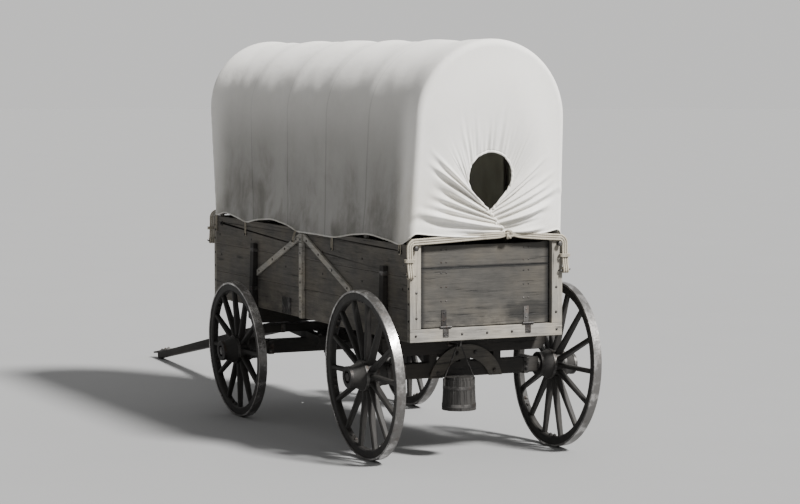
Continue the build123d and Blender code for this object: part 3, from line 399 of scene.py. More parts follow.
def iron_finish(name, tone, bright, roughness, rust=0.35):
    """Forged iron: hammered dark scale, worn bright in patches and rusty in others."""
    made = Finish(name, Metallic=0.85)
    point = made.place()
    hammered = made.noise(point, 60.0, 3.0, 0.5)
    worn = made.noise(point, 8.0, 5.0, 0.65)
    pits = made.noise(point, 190.0, 2.0, 0.6)
    shine = worn.rise(0.46, 0.68)
    rusty = (made.noise(point, 13.0, 4.0, 0.68) + hammered * 0.2).rise(0.60, 0.78) * rust
    coloured = made.blend(rusty, made.blend(shine, tone, bright), (0.085, 0.052, 0.034))
    return made.finished(coloured, 0.72 + pits * 0.55,
                         roughness + (hammered - 0.5) * 0.3 + rusty * 0.35 - shine * 0.1,
                         hammered * 0.9 + pits * 0.3, 0.0012, 0.8)


def rope_finish(name, tone):
    """Hemp: its fibres run with the strands, by the rope's own layout, and grime lies on it."""
    made = Finish(name, IOR=1.4)
    around, length = made.own_cut()
    fibre = made.noise(made.vector(around * 40.0 - length * 26.0, length * 3.0, 0.0),
                       5.0, 3.0, 0.7)
    grime = made.noise(made.place(), 9.0, 4.0, 0.6)
    soiled = made.blend(grime.rise(0.45, 0.7) * 0.45, tone, (0.19, 0.165, 0.13))
    return made.finished(soiled, 0.72 + (fibre - 0.5) * 1.0 + (grime - 0.5) * 1.1, 0.9,
                         fibre, 0.0012, 0.8)


def canvas_finish(name, tone, shade_and_weather=1.0):
    """Cotton duck: weave from two crossed waves on its own cut (in metres), stains and dirt.

    Broad patches of dirt grow towards the hem, and rain has drawn them out downwards into soft
    streaks. The long sides carry painted shade, darker than the ends and more so towards the
    bottom, mixed with weathering, by the share that shade_and_weather gives.
    """
    made = Finish(name, Sheen_Weight=0.12, Sheen_Roughness=0.6, IOR=1.4,
                  Subsurface_Weight=0.22, Subsurface_Radius=(0.012, 0.012, 0.011),
                  Subsurface_Scale=1.0)
    point = made.place()
    x, y, z = made.axes(point)
    around, length = made.own_cut()
    warp = (around * (2 * math.pi * THREADS)).wave()
    weft = (length * (2 * math.pi * THREADS)).wave()
    slub = made.noise(made.vector(around * 0.5, length * 14.0, 0.0), 30.0, 2.0, 0.5)
    streak = made.noise(made.vector(x * 2.3, y * 2.3, z * 0.55), 2.6, 5.0, 0.62, 0.3)
    patch = made.noise(made.vector(x, y, z * 0.8 + 3.0), 2.1, 5.0, 0.58, 0.5)
    cloud = made.noise(point, 1.5, 4.0, 0.6, 0.4)
    mottle = made.noise(made.vector(x, y, z * 0.7), 6.5, 4.0, 0.6, 0.5)
    speck = made.noise(point, 26.0, 3.0, 0.7)
    grime = (z.rise(2.62, 1.52) * (0.34 + (patch - 0.5) * 2.6 + (streak - 0.5) * 1.1
                                   + (mottle - 0.5) * 0.9)).rise(0.0, 0.85)
    hem_soil = z.rise(1.70, 1.53) * (0.35 + mottle * 0.6)
    crease = box_rear + 0.064
    long_way = x.rise(crease - 0.02, crease + 0.26) * x.rise(box_front + 0.12, box_front - 0.34)
    side = y.size().rise(0.40, 0.58) * long_way * shade_and_weather
    # painted shade mixed with weathering: the long sides darker than the ends, more so towards the
    # bottom
    side_shade_and_weathering = side * (0.10 + z.rise(2.85, 1.85) * 0.41 + (cloud - 0.5) * 0.35)
    dust = (cloud - 0.5) * 0.14 + (speck - 0.5) * 0.06
    shade = 1.0 + dust - side_shade_and_weathering - grime * (0.10 + side * 0.12) - hem_soil * 0.10
    # more painted shade: the long sides darker below 2.75 m
    shade = shade * (1.0 - side * z.rise(2.75, 2.20) * 0.24)
    panel = length / CLOTH_WIDTH
    seam = ((panel - panel.floor() - 0.5).size().rise(0.484, 0.492)
            * length.rise(0.2, 0.3) * length.rise(3.55, 3.45))
    stitch = (around * 900.0).wave().rise(0.1, 0.6)
    worn = made.blend(grime * 0.7, tone, tinted(tone, 0.93, 0.90, 0.83))
    return made.finished(worn, shade - seam * 0.07 - seam * stitch * 0.05, 0.93,
                         warp * 0.25 + weft * 0.25 + slub * 0.5 + seam * 1.2, 0.0007, 0.55,
                         made.relief(mottle * 0.6 + streak * 0.8, 0.006, 0.45))


def grid_faces(rows, columns, close_rows=False, close_columns=False):
    """Quads of a grid whose vertex number is row * columns + column, wrapped where closed."""
    row, column = np.meshgrid(np.arange(rows - 1 + close_rows),
                              np.arange(columns - 1 + close_columns), indexing="ij")
    next_row, next_column = (row + 1) % rows, (column + 1) % columns
    corners = [row * columns + column, row * columns + next_column,
               next_row * columns + next_column, next_row * columns + column]
    return np.stack(corners, axis=-1).reshape(-1, 4)


def make_piece(name, shapes, material, body, smooth=True):
    """Puts shapes, each its points, its faces and its flat layout, into one mesh on a body."""
    points, faces, layouts = [], [], []
    start = 0
    for shape_points, shape_faces, layout in shapes:
        points.append(shape_points)
        layouts.append(layout if layout is not None else shape_points[:, :2])
        for group in shape_faces:
            faces += (np.asarray(group) + start).tolist()
        start += len(shape_points)
    mesh = bpy.data.meshes.new(name)
    mesh.from_pydata(np.concatenate(points).tolist(), [], faces)
    layer = mesh.uv_layers.new(name="cut")
    corner_vertex = np.zeros(len(mesh.loops), dtype=np.int64)
    mesh.loops.foreach_get("vertex_index", corner_vertex)
    cut = np.concatenate(layouts).astype(np.float32)
    layer.data.foreach_set("uv", cut[corner_vertex].ravel())
    mesh.polygons.foreach_set("use_smooth", np.full(len(mesh.polygons), smooth))
    mesh.materials.append(material)
    mesh.validate()
    made = bpy.data.objects.new(name, mesh)
    bpy.context.scene.collection.objects.link(made)
    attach(made, body)
    return made


def unit(vectors):
    """The same directions, each of length 1."""
    return vectors / np.maximum(np.linalg.norm(vectors, axis=-1, keepdims=True), 1e-9)


def way_along(path):
    """How far along its path each point lies."""
    return np.concatenate([[0], np.cumsum(np.linalg.norm(np.diff(path, axis=0), axis=1))])


def smooth_step(value, low, high):
    """0 at low, 1 at high and a smooth curve between."""
    share = np.clip((value - low) / (high - low), 0, 1)
    return share * share * (3 - 2 * share)


def even_path(points, step):
    """Points spaced evenly along a smooth curve through the given ones (Catmull-Rom cubic)."""
    points = np.asarray(points, float)
    padded = np.vstack([2 * points[0] - points[1], points, 2 * points[-1] - points[-2]])
    share = np.linspace(0, 1, 24, endpoint=False)[None, :, None]
    a, b, c, d = (padded[i:len(padded) - 3 + i][:, None, :] for i in range(4))
    curve = 0.5 * (2 * b + (c - a) * share + (2 * a - 5 * b + 4 * c - d) * share ** 2
                   + (3 * b - a - 3 * c + d) * share ** 3)
    curve = np.vstack([curve.reshape(-1, 3), points[-1:]])
    way = way_along(curve)
    stations = np.linspace(0, way[-1], max(int(way[-1] / step) + 1, 4))
    return np.stack([np.interp(stations, way, curve[:, k]) for k in range(3)], axis=1)


def rope_tube(path, radius, strands=3, pitch=None, around=12, closed=False, bulge=0.18):
    """A twisted rope: a round profile with one bulge for each strand, turned along the path.

    The radius at an angle a and a way s is R (1 - b + b |cos(n (a - 2 pi s / pitch) / 2)|), for
    n strands and a bulge b. The ends are closed by fans.
    """
    if closed:
        tangent = unit(np.roll(path, -1, axis=0) - np.roll(path, 1, axis=0))
    else:
        tangent = unit(np.gradient(path, axis=0))
    helper = np.eye(3)[np.argmin(np.abs(tangent).mean(axis=0))] + np.array([0.13, 0.07, 0.11])
    side = unit(np.cross(tangent, helper))
    rise = np.cross(tangent, side)
    way = way_along(path)[:, None]
    angle = np.linspace(0, 2 * np.pi, around, endpoint=False)[None, :]
    twist = angle - 2 * np.pi * way / (pitch or radius * 7)
    size = radius * (1 - bulge + bulge * np.abs(np.cos(strands * twist / 2)))
    points = (path[:, None, :] + (size * np.cos(angle))[..., None] * side[:, None, :]
              + (size * np.sin(angle))[..., None] * rise[:, None, :]).reshape(-1, 3)
    layout = np.stack(np.broadcast_arrays(angle * radius, way), axis=-1).reshape(-1, 2)
    faces = [grid_faces(len(path), around, closed, True)]
    if not closed:
        points = np.vstack([points, path[:1], path[-1:]])
        layout = np.vstack([layout, layout[:1], layout[-1:]])
        ring = np.arange(around)
        after = (ring + 1) % around
        tip = np.full(around, len(path) * around)
        last = tip[0] - around
        faces += [np.stack([after, ring, tip], axis=1),
                  np.stack([last + ring, last + after, tip + 1], axis=1)]
    return points, faces, layout


def turned_copies(profile, places, normals, around=8, upward=(0, 0, 1)):
    """Many small turned or square shapes: a profile of radius and height about each normal.

    Each point is place + radius (cos a u + sin a v) + height n, with v the upward way squared
    to n and u square to both. Four sides give a square with its faces along u and v, whose
    radius is half its width.
    """
    profile = np.asarray(profile, float)
    places = np.asarray(places, float).reshape(-1, 3)
    normals = unit(np.broadcast_to(np.asarray(normals, float), places.shape))
    first = unit(np.cross(np.broadcast_to(np.asarray(upward, float), places.shape), normals))
    second = np.cross(normals, first)
    angle = (np.arange(around) + 0.5) * 2 * np.pi / around
    reach = math.sqrt(2) if around == 4 else 1.0
    ring = reach * (np.cos(angle)[None, :, None] * first[:, None, :]
                    + np.sin(angle)[None, :, None] * second[:, None, :])
    rings = (places[:, None, None, :] + profile[None, :, 0, None, None] * ring[:, None, :, :]
             + profile[None, :, 1, None, None] * normals[:, None, None, :])
    levels = len(profile)
    shift = np.arange(len(places))[:, None, None] * levels * around
    turn = np.arange(around)
    top = (levels - 1) * around + turn
    faces = [(grid_faces(levels, around, False, True)[None] + shift).reshape(-1, 4),
             (top[None, None] + shift).reshape(-1, around),
             (turn[::-1][None, None] + shift).reshape(-1, around)]
    return rings.reshape(-1, 3), faces, None


# turned profiles: radius, height
BOLT_HEAD = [(0.0095, -0.0006), (0.0095, 0.0012), (0.0078, 0.0036), (0.0036, 0.0052)]
RIVET_HEAD = [(0.0062, -0.0006), (0.0060, 0.0010), (0.0042, 0.0026), (0.0018, 0.0031)]
NAIL_HEAD = [(0.0036, -0.0004), (0.0034, 0.0008), (0.0016, 0.0014)]
WASHER = [(0.0150, -0.0006), (0.0150, 0.0022), (0.0142, 0.0028)]
SQUARE_NUT = [(0.0100, 0.0020), (0.0100, 0.0095), (0.0080, 0.0115)]
BOLT_END = [(0.0050, 0.0100), (0.0050, 0.0150), (0.0038, 0.0162)]
TIE_PEG = [(0.0145, -0.002), (0.0145, 0.026), (0.0180, 0.0275), (0.0180, 0.033),
           (0.0120, 0.0355)]
HEM_PIN = [(0.0062, -0.002), (0.0062, 0.0155), (0.0100, 0.0165), (0.0094, 0.0200),
           (0.0050, 0.0215)]


def nuts(places, normals, upward=(0, 0, 1)):
    """A washer, a square nut and the bolt's end at each place."""
    return [turned_copies(profile, places, normals, around, upward)
            for profile, around in ((WASHER, 12), (SQUARE_NUT, 4), (BOLT_END, 8))]


def spots(along, across, up):
    """Every place that the given distances along, across and up make together."""
    return list(product(*(np.atleast_1d(distances) for distances in (along, across, up))))


def iron_band(corners, across, width, thickness, round_off=0.006):
    """A flat strap bent round a beam: a closed path of rounded corners with a flat section.

    Each corner becomes a quarter turn of the round-off radius; the section is a rectangle
    whose width lies along the beam and whose thickness points away from it.
    """
    corners = np.asarray(corners, float)
    before = unit(np.roll(corners, 1, axis=0) - corners)
    after = unit(np.roll(corners, -1, axis=0) - corners)
    turn = np.linspace(0, np.pi / 2, 5)[None, :, None]
    away = -(np.cos(turn) * after[:, None, :] + np.sin(turn) * before[:, None, :])
    centres = corners + round_off * (before + after)
    path = (centres[:, None, :] + round_off * away).reshape(-1, 3)
    raised = away.reshape(-1, 3) * thickness
    half = np.asarray(across, float) * width / 2
    section = np.stack([path - half, path + half, path + half + raised, path - half + raised],
                       axis=1)
    return section.reshape(-1, 3), [grid_faces(len(path), 4, True, True)], None


def beam_band(x, y, low, high, width, thickness, half_x=0.048):
    """A strap round a beam that lies across the wagon, at a distance y from the middle."""
    corners = [(x - half_x, y, low), (x + half_x, y, low), (x + half_x, y, high),
               (x - half_x, y, high)]
    return iron_band(corners, (0, 1, 0), width, thickness)


# from the rear axle, height above the box
SIDE_HEM = [
    (-0.40, 0.045), (-0.31, 0.020), (-0.240, -0.006), (-0.05, 0.018), (0.28, 0.042), (0.60, 0.016),
    (0.80, -0.014), (0.93, -0.025), (1.28, -0.022), (1.62, -0.025), (1.76, 0.014), (2.08, 0.044),
    (2.42, 0.018), (2.64, -0.018), (2.80, 0.012), (3.06, 0.044), (3.30, 0.004), (3.42, 0.030),
]

# from the rear axle, from the centre line, height, radius of the cord's loop
HEM_TIES = [
    (-0.240, 0.620, 1.500, 0.0165), (0.93, 0.620, 1.442, 0.0105), (1.62, 0.640, 1.456, 0.0105),
    (2.64, 0.620, 1.442, 0.0105), (3.275, 0.620, 1.442, 0.0105),
]


def hem_line(x):
    """Height of the side hem: the listed heights joined up and averaged over 0.13 m."""
    table = np.asarray(SIDE_HEM)
    places = np.asarray(x)[..., None] + np.linspace(-0.065, 0.065, 15) - rear_axle_x
    return box_top + np.interp(places, table[:, 0], table[:, 1]).mean(axis=-1)


def cover_section(u, hem, sizes):
    """Around the cover at shares u of its way from the left hem over the top to the right hem.

    The sides are straight and lean in to touch a round top; both are measured by arc length.
    Returns the places across and up, and the same two parts of the way that faces out.
    """
    radius, side, centre = sizes.round_radius, sizes.hem_side, sizes.arch_height
    foot = box_top - 0.028      # where the straight side is hem_side from the centre line
    drop = centre - foot
    touch = math.acos(radius / math.hypot(side, drop)) - math.atan2(drop, side)
    touch_y = radius * math.cos(touch)
    touch_z = centre + radius * math.sin(touch)
    lean = (touch_y - side) / (touch_z - foot)
    slant, slope = math.hypot(1, lean), math.atan(lean)
    hem = np.asarray(hem)[..., None]
    straight = (touch_z - hem) * slant
    whole = 2 * straight + radius * (math.pi - 2 * touch)
    near = np.minimum(u * whole, whole - u * whole)
    left = np.where(u <= 0.5, 1.0, -1.0)
    up = hem + near / slant
    turn = touch + (near - straight) / radius
    on_side = near < straight
    y = np.where(on_side, touch_y + (up - touch_z) * lean, radius * np.cos(turn)) * left
    z = np.where(on_side, up, centre + radius * np.sin(turn))
    out_y = np.where(on_side, math.cos(slope), np.cos(turn)) * left
    out_z = np.where(on_side, -math.sin(slope), np.sin(turn))
    return y, z, out_y, out_z


def drawn_edge(u, sizes, hand):
    """Where the canvas edge at share u ends on the end face: sideways, height and depth.

    The low shares run along the closed slit from the knot to the hole's point, and the rest
    round the teardrop: two tangents from its point and a circle. The right edge of the slit
    passes under the left one, so it lies a little deeper and further to the side.
    """
    share = 2 * np.minimum(u, 1 - u)
    side = np.where(u <= 0.5, 1.0, -1.0)
    slit, radius = sizes.slit_share, sizes.hole_radius
    in_slit = np.clip(share / slit, 0, 1)
    tip_y, tip_z = -0.01 * hand, sizes.hole_tip
    knot_y, knot_z = sizes.knot_side * hand, sizes.knot_height
    turn = math.acos(radius / (sizes.hole_centre - tip_z))
    tangent = radius * math.tan(turn)
    way = np.clip((share - slit) / (1 - slit), 0, 1) * (tangent + radius * (math.pi - turn))
    touch_y = radius * math.sin(turn)
    touch_z = sizes.hole_centre - radius * math.cos(turn)
    bend = turn - np.pi / 2 + (way - tangent) / radius
    on_line = way < tangent
    hole_y = np.where(on_line, way / tangent * touch_y, radius * np.cos(bend))
    hole_z = np.where(on_line, tip_z + way / tangent * (touch_z - tip_z),
                      sizes.hole_centre + radius * np.sin(bend))
    under = (side * hand < 0) * np.sin(np.pi * in_slit)
    slit_y = knot_y + (tip_y - knot_y) * in_slit ** 0.9 + hand * 0.022 * under
    slit_z = knot_z + (tip_z - knot_z) * in_slit ** 0.9
    y = np.where(share < slit, slit_y,
                 side * hole_y + tip_y * (1 - np.clip(way / tangent, 0, 1)))
    return y, np.where(share < slit, slit_z, hole_z), -0.012 * under


def gather_height(u, share, sizes, seed):
    """Height of the folds at share u round the edge and share 0 to 1 from crease to drawn edge.

    A fold is a rounded ridge with a valley beside it, exp(-(du / w)^2) less a part of the same a
    little to one side. Deep folds run from the slit out to the corners, and small gathers
    start at a depth of their own and grow to the edge of the hole.
    """
    random = np.random.default_rng(seed)
    total = np.zeros(np.broadcast(u, share).shape)
    slit = sizes.slit_share / 2
    deep = [(side * (place + random.uniform(-0.005, 0.005)) % 1.0, random.uniform(0.0058, 0.0098),
             random.uniform(-0.15, 0.25), random.uniform(0.9, 2.3))
            for side in (1, -1) for place in np.linspace(0.018, slit + 0.050, 8)]
    small = [((number + 0.5 + random.uniform(-0.3, 0.3)) / sizes.gathers * (1 - 2 * slit) + slit,
              random.uniform(0.0050, 0.0085), random.uniform(0.35, 0.8), random.uniform(0.2, 0.6))
             for number in range(sizes.gathers)]
    for centre, width, start, height in deep:
        off = (u - centre - random.uniform(-0.006, 0.006) * (1 - share)) / width
        ridge = np.exp(-off ** 2) - 0.7 * np.exp(-(off + 1.5 * np.sign(0.5 - centre)) ** 2)
        grown = smooth_step(share, start, start + 0.5) * (1 - 0.5 * smooth_step(share, 0.72, 1.0))
        total = total + height * ridge * grown
    for centre, width, start, height in small:
        off = (u - centre - random.uniform(-0.006, 0.006) * (1 - share)) / width
        ridge = np.exp(-off ** 2) - 0.6 * np.exp(-(off - random.choice([-1.7, 1.7])) ** 2)
        total = total + height * ridge * smooth_step(share, start, 1.0) ** 1.1
    return sizes.gather * total


def soft_waves(a, b, seed, count, low, high, tilt=1.0):
    """Sum of gentle sine waves of random direction over two measures in metres, about -1 to 1."""
    random = np.random.default_rng(seed)
    total = 0
    for _ in range(count):
        turn = random.uniform(0, 2 * np.pi)
        pace = random.uniform(low, high) * 2 * np.pi
        total = total + np.sin(pace * (a * np.cos(turn) * tilt + b * np.sin(turn))
                               + random.uniform(0, 2 * np.pi))
    return total / math.sqrt(count)


def end_surface(u, sizes, lean, crease_x, toward, seed, face_rows=32, roll_rows=7):
    """One drawn end, from the crease to the hole: rows of points.

    A quarter turn of the crease radius brings the canvas from the side onto the leaning end
    plane; from there each share u runs straight to the drawn edge, lifted by a slight belly
    and by the folds.
    """
    normal = np.array([toward * math.cos(lean), 0.0, -toward * math.sin(lean)])
    upward = np.array([math.sin(lean), 0.0, math.cos(lean)])
    radius = sizes.crease_radius
    end_hem, side_hem = box_top + sizes.end_hem, hem_line(crease_x)
    turn = np.linspace(0, np.pi / 2, roll_rows + 1)[1:]
    rise = 0.2 + 0.8 * smooth_step(turn, 0, np.pi / 2)
    hems = np.concatenate([side_hem + (end_hem - side_hem) * rise, np.full(face_rows, end_hem)])
    y, z, out_y, out_z = cover_section(u[None, :], hems, sizes)
    share = np.concatenate([np.zeros(roll_rows), np.linspace(0, 1, face_rows + 1)[1:]])[:, None]
    angle = np.concatenate([turn, np.full(face_rows, np.pi / 2)])[:, None]
    inward = radius * (1 - np.cos(angle))
    base_y = y - out_y * inward
    base_z = (z - box_top) / math.cos(lean) - out_z * inward
    edge_y, edge_z, edge_depth = drawn_edge(u[None, :], sizes, 1 if toward < 0 else -1)
    face_y = base_y + (edge_y - base_y) * share ** 0.94
    face_z = base_z + (edge_z - base_z) * share ** 0.94
    middle = np.sin(np.pi * share)
    belly = 0.030 * middle * np.clip(np.hypot(edge_y - base_y, edge_z - base_z) / 0.5, 0.3, 1)
    slack = 0.006 * middle * soft_waves(face_y, face_z, seed + 3, 7, 0.8, 2.2)
    out = (sizes.end_depth - radius * (1 - np.sin(angle)) + edge_depth * share ** 3 + belly
           + gather_height(u[None, :], share, sizes, seed) + slack)
    low_edge = smooth_step(0.06 - np.minimum(u, 1 - u)[None, :], 0, 0.06)
    return (np.array([crease_x, 0.0, box_top]) + face_y[..., None] * np.array([0.0, 1.0, 0.0])
            + (face_z - 0.014 * middle * low_edge)[..., None] * upward + out[..., None] * normal)


def bow_feet(sizes):
    """Where the bows' feet stand along the box, and how far each leans to a metre of height.

    The bows stand at equal steps, the two end ones leaning with the canvas.
    """
    feet = np.linspace(box_rear + sizes.rear_inset + sizes.bow_inset,
                       box_front - sizes.front_inset - sizes.bow_inset, sizes.bows)
    leans = np.zeros(sizes.bows)
    leans[0], leans[-1] = math.tan(sizes.rear_lean), math.tan(sizes.front_lean)
    return feet, leans


def bow_droop(x, tall, sizes):
    """How far along its sag the canvas is between two bows: 4 t (1 - t), flat over each bow."""
    feet, leans = bow_feet(sizes)
    bows = feet[:, None, None] + tall[None] * leans[:, None, None]
    passed = (x[None] > bows).sum(axis=0)
    before, after = (
        np.take_along_axis(bows, np.clip(number, 0, sizes.bows - 1)[None], axis=0)[0]
        for number in (passed - 1, passed))
    half = sizes.bow_width / 2
    share = np.clip((x - before - half) / np.maximum(after - before - 2 * half, 0.01), 0, 1)
    return np.where((passed > 0) & (passed < sizes.bows), 4 * share * (1 - share), 0.0)


def cover_grid(sizes, side_rows=88):
    """The whole cover as one grid of points, from the rear hole along the sides to the front one.

    Between bows the canvas sags, it draws up small creases from each tie, and slow waves stand
    for its slack. Returns the points and their places on the flat cut.
    """
    low_u = np.linspace(0, 0.16, 74, endpoint=False)
    u = np.concatenate([low_u, np.linspace(0.16, 0.84, 133), 1 - low_u[::-1]])
    rear_x = box_rear + sizes.rear_inset
    front_x = box_front - sizes.front_inset
    share = np.linspace(0, 1, side_rows)[:, None]
    flat_x = rear_x + (front_x - rear_x) * share
    hems = hem_line(flat_x[:, 0])
    y, z, out_y, out_z = cover_section(u[None, :], hems, sizes)
    tall = z - box_top
    x = flat_x + tall * (math.tan(sizes.rear_lean) * (1 - share)
                         + math.tan(sizes.front_lean) * share)
    droop = bow_droop(x, tall, sizes)
    over = np.minimum(u, 1 - u)[None, :]
    away = smooth_step(over, 0.0, 0.07)
    calm = smooth_step(np.minimum(share, 1 - share), 0, 0.03)
    random = np.random.default_rng(sizes.seed + 11)
    above = np.clip((z - hems[:, None]) / 0.62, 0, 1)
    pull = np.zeros_like(y)
    for tie in HEM_TIES:
        for leaning in random.uniform(-0.55, 0.55, 6):
            line = flat_x - tie[0] - rear_axle_x - leaning * tall * 0.9
            pull += (np.exp(-(line / (0.015 + 0.055 * above)) ** 2) * (1 - above) ** 1.5
                     * smooth_step(above, 0, 0.05))
    waves = soft_waves(x, over * 3.9, sizes.seed + 5, 9, 0.5, 1.6, 1.5)
    fine = soft_waves(x, over * 3.9, sizes.seed + 6, 9, 1.6, 4.0, 1.8)
    flare = (1 - away) * np.maximum(hems - box_top, 0)[:, None] * 0.25
    out = (droop * away * (0.0055 * waves - sizes.sag) + 0.0016 * fine * calm * droop
           + 0.0060 * pull * calm + flare)
    side = np.stack([x, y + out_y * out, z + out_z * out], axis=-1)
    rear = end_surface(u, sizes, sizes.rear_lean, rear_x, -1, sizes.seed)[::-1]
    front = end_surface(u, sizes, sizes.front_lean, front_x, 1, sizes.seed + 20)
    points = np.concatenate([rear, side, front])
    steps = np.linalg.norm(np.diff(points, axis=0), axis=-1).mean(axis=1)
    along = np.concatenate([[0], np.cumsum(steps)])
    along -= along[len(rear)]
    cut = np.stack(np.broadcast_arrays(u[None, :] * 3.94, along[:, None]), axis=-1)
    return points, cut


class WAGON_OT_canvas_cover(bpy.types.Operator):
    """Makes the drawn canvas cover in one sheet, with its rolled hems"""

    bl_idname = "wagon.canvas_cover"
    bl_label = "Canvas Cover"

    def execute(self, context):
        sizes = context.scene.wagon_cover
        tone = tuple(context.scene.wagon_tones.canvas)
        # the hems take 0.3 of the long sides' painted shade and weathering
        duck, hem_duck = canvas_finish("cotton_duck", tone), canvas_finish("hem_duck", tone, 0.3)
        points, cut = cover_grid(sizes)
        faces = grid_faces(*points.shape[:2])
        cover = make_piece("canvas_cover", [(points.reshape(-1, 3), [faces], cut.reshape(-1, 2))],
                           duck, "wagon")
        wall = cover.modifiers.new("wall", "SOLIDIFY")
        wall.thickness = sizes.thickness
        wall.offset = -1
        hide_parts("cover_sheet", "cover_rear_end", "cover_front_end")
        # name, edge, radius of the hem
        edges = [("left", points[:, 0], 0.0062), ("right", points[:, -1], 0.0062),
                 ("rear", points[0], 0.0090), ("front", points[-1], 0.0090)]
        for name, edge, radius in edges:
            tube = rope_tube(even_path(edge[::2], 0.012), radius, 2, 0.19, 8, bulge=0.12)
            make_piece(f"cover_hem_{name}", [tube], hem_duck, "wagon")
        return {"FINISHED"}


def tie_strand(post_x, outward, knot, side, offset):
    """Path of one strand of a tie: from the knot, round the peg on the post, down to its bar.

    offset is the strand's distance across the band, on a quarter turn about the peg.
    """
    bend = 0.045 + offset
    down = side * (PEG_SIDE + bend)
    # out from the post's face, across the wagon, height
    rows = [(0.024, knot[0] + side * 0.020, knot[1] + offset * 0.3),
            (0.021, knot[0] + side * 0.075, knot[1] - 0.006 + offset * 0.8)]
    rows += [(0.017, knot[0] + (side * (PEG_SIDE - 0.03) - knot[0]) * share,
              knot[1] + (PEG_Z + bend - knot[1]) * share + offset * (1 - share) * 0.9)
             for share in (0.35, 0.7)]
    rows += [(0.0155, side * (PEG_SIDE + bend * math.cos(a)), PEG_Z + bend * math.sin(a))
             for a in np.radians([90, 66, 44, 22, 0])]
    rows.append((0.017, down, PEG_Z - 0.05))
    rows += [(out, down, BAR_Z + up) for out, up in (
        (0.025, 0.060), (0.036, 0.016), (0.0375, 0.0), (0.033, -0.010), (0.024, -0.0135),
        (0.015, -0.009), (0.0105, 0.0), (0.0105, 0.022))]
    return [(post_x + outward * out, y, z) for out, y, z in rows]


def trefoil(centre, scale, outward, turned):
    """Closed path of a knot: (sin t + 2 sin 2t, cos t - 2 cos 2t, -sin 3t), facing outward."""
    t = np.linspace(0, 2 * np.pi, 72, endpoint=False)
    wide, tall, deep = np.sin(t) + 2 * np.sin(2 * t), np.cos(t) - 2 * np.cos(2 * t), -np.sin(3 * t)
    y = wide * math.cos(turned) - tall * math.sin(turned)
    z = wide * math.sin(turned) + tall * math.cos(turned)
    return np.asarray(centre) + scale * np.stack([outward * deep, y, z], axis=1)


class WAGON_OT_tie_ropes(bpy.types.Operator):
    """Ties the drawn ends to the corner posts and the side hems to their pins"""

    bl_idname = "wagon.tie_ropes"
    bl_label = "Tie Ropes"

    # out from the post's face, along the bar from its middle, height above it
    BAR = [(-0.004, -0.042, 0.0), (0.016, -0.042, 0.0), (0.024, -0.034, 0.0),
           (0.024, 0.008, 0.0), (0.025, 0.032, 0.002), (0.027, 0.040, 0.012)]
    # out from the post's face and along the bar, of a cord bound round a tie's strands
    BINDING = [(0.034, -0.031), (0.005, -0.031), (0.005, 0.031), (0.034, 0.031),
               (0.034, -0.031), (0.005, -0.031)]

    def execute(self, context):
        sizes, tones = context.scene.wagon_cover, context.scene.wagon_tones
        hemp = rope_finish("hemp_rope", tuple(tones.rope))
        iron = iron_finish("peg_iron", tuple(tones.iron), (0.16, 0.155, 0.15), 0.5)
        pegs, peg_ways, bars = [], [], []
        for end, post_x, outward in (("rear", box_rear, -1), ("front", box_front, 1)):
            knot = (-outward * sizes.knot_side, box_top + sizes.knot_height)
            centre = (post_x + outward * 0.027, *knot)
            ropes = [rope_tube(trefoil(centre, scale, outward, turned), radius, closed=True)
                     for scale, turned, radius in ((0.0098, 0.5, 0.0088), (0.0088, 1.6, 0.0080))]
            for side in (1, -1):
                for offset in (-BAND_STEP, 0.0, BAND_STEP):
                    path = even_path(tie_strand(post_x, outward, knot, side, offset), 0.0042)
                    ropes.append(rope_tube(path, TIE_RADIUS, around=10))
                middle = side * BAR_SIDE
                for depth in (0.098, 0.106, 0.114):
                    turn = [(post_x + outward * out, middle + y, box_top - depth + 0.003 * y)
                            for out, y in self.BINDING]
                    ropes.append(rope_tube(even_path(turn, 0.004), CORD_RADIUS, around=8))
                pegs.append((post_x, side * PEG_SIDE, PEG_Z))
                peg_ways.append((outward, 0, 0))
                bar = [(post_x + outward * out, middle + side * along, BAR_Z + up)
                       for out, along, up in self.BAR]
                bars.append(rope_tube(even_path(bar, 0.004), 0.0046, 1, around=8, bulge=0.0))
            make_piece(f"{end}_tie_ropes", ropes, hemp, "wagon")
        cords, pins, pin_ways = [], [], []
        for tie_x, tie_y, tie_z, loop in HEM_TIES:
            x = tie_x + rear_axle_x
            hem_z = float(hem_line(x)) + 0.003
            bight = [(loop * math.cos(a), loop * math.sin(a))
                     for a in np.radians(np.linspace(180, 360, 7))]
            for side in (1, -1):
                legs = [(x - 0.010, side * HEM_EYE_SIDE, hem_z)]
                legs += [(x + along, side * tie_y, tie_z + up)
                         for along, up in [(-loop, 0.012), *bight, (loop, 0.012)]]
                legs.append((x + 0.010, side * HEM_EYE_SIDE, hem_z))
                cords.append(rope_tube(even_path(legs, 0.003), CORD_RADIUS, around=8))
                if loop < 0.012:
                    pins.append((x, side * (tie_y - 0.010), tie_z))
                    pin_ways.append((0, side, 0))
        make_piece("hem_ties", cords, hemp, "wagon")
        make_piece("tie_pegs", [turned_copies(TIE_PEG, pegs, peg_ways, 14), *bars,
                                turned_copies(HEM_PIN, pins, pin_ways, 12)],
                   iron, "wagon")
        return {"FINISHED"}


def both_sides(rows):
    """Places on the left side and the same on the right, and the outward way at each."""
    rows = np.asarray(rows, float).reshape(-1, 3)
    places = np.concatenate([rows, rows * [1, -1, 1]])
    ways = np.zeros_like(places)
    ways[:, 1] = np.sign(places[:, 1])
    return places, ways


def beside_hinges(gap):
    """Distances across the wagon of two rows of rivets, a gap to each side of every hinge."""
    return [side * HINGE_SIDE + y for side in (1, -1) for y in (-gap, gap)]


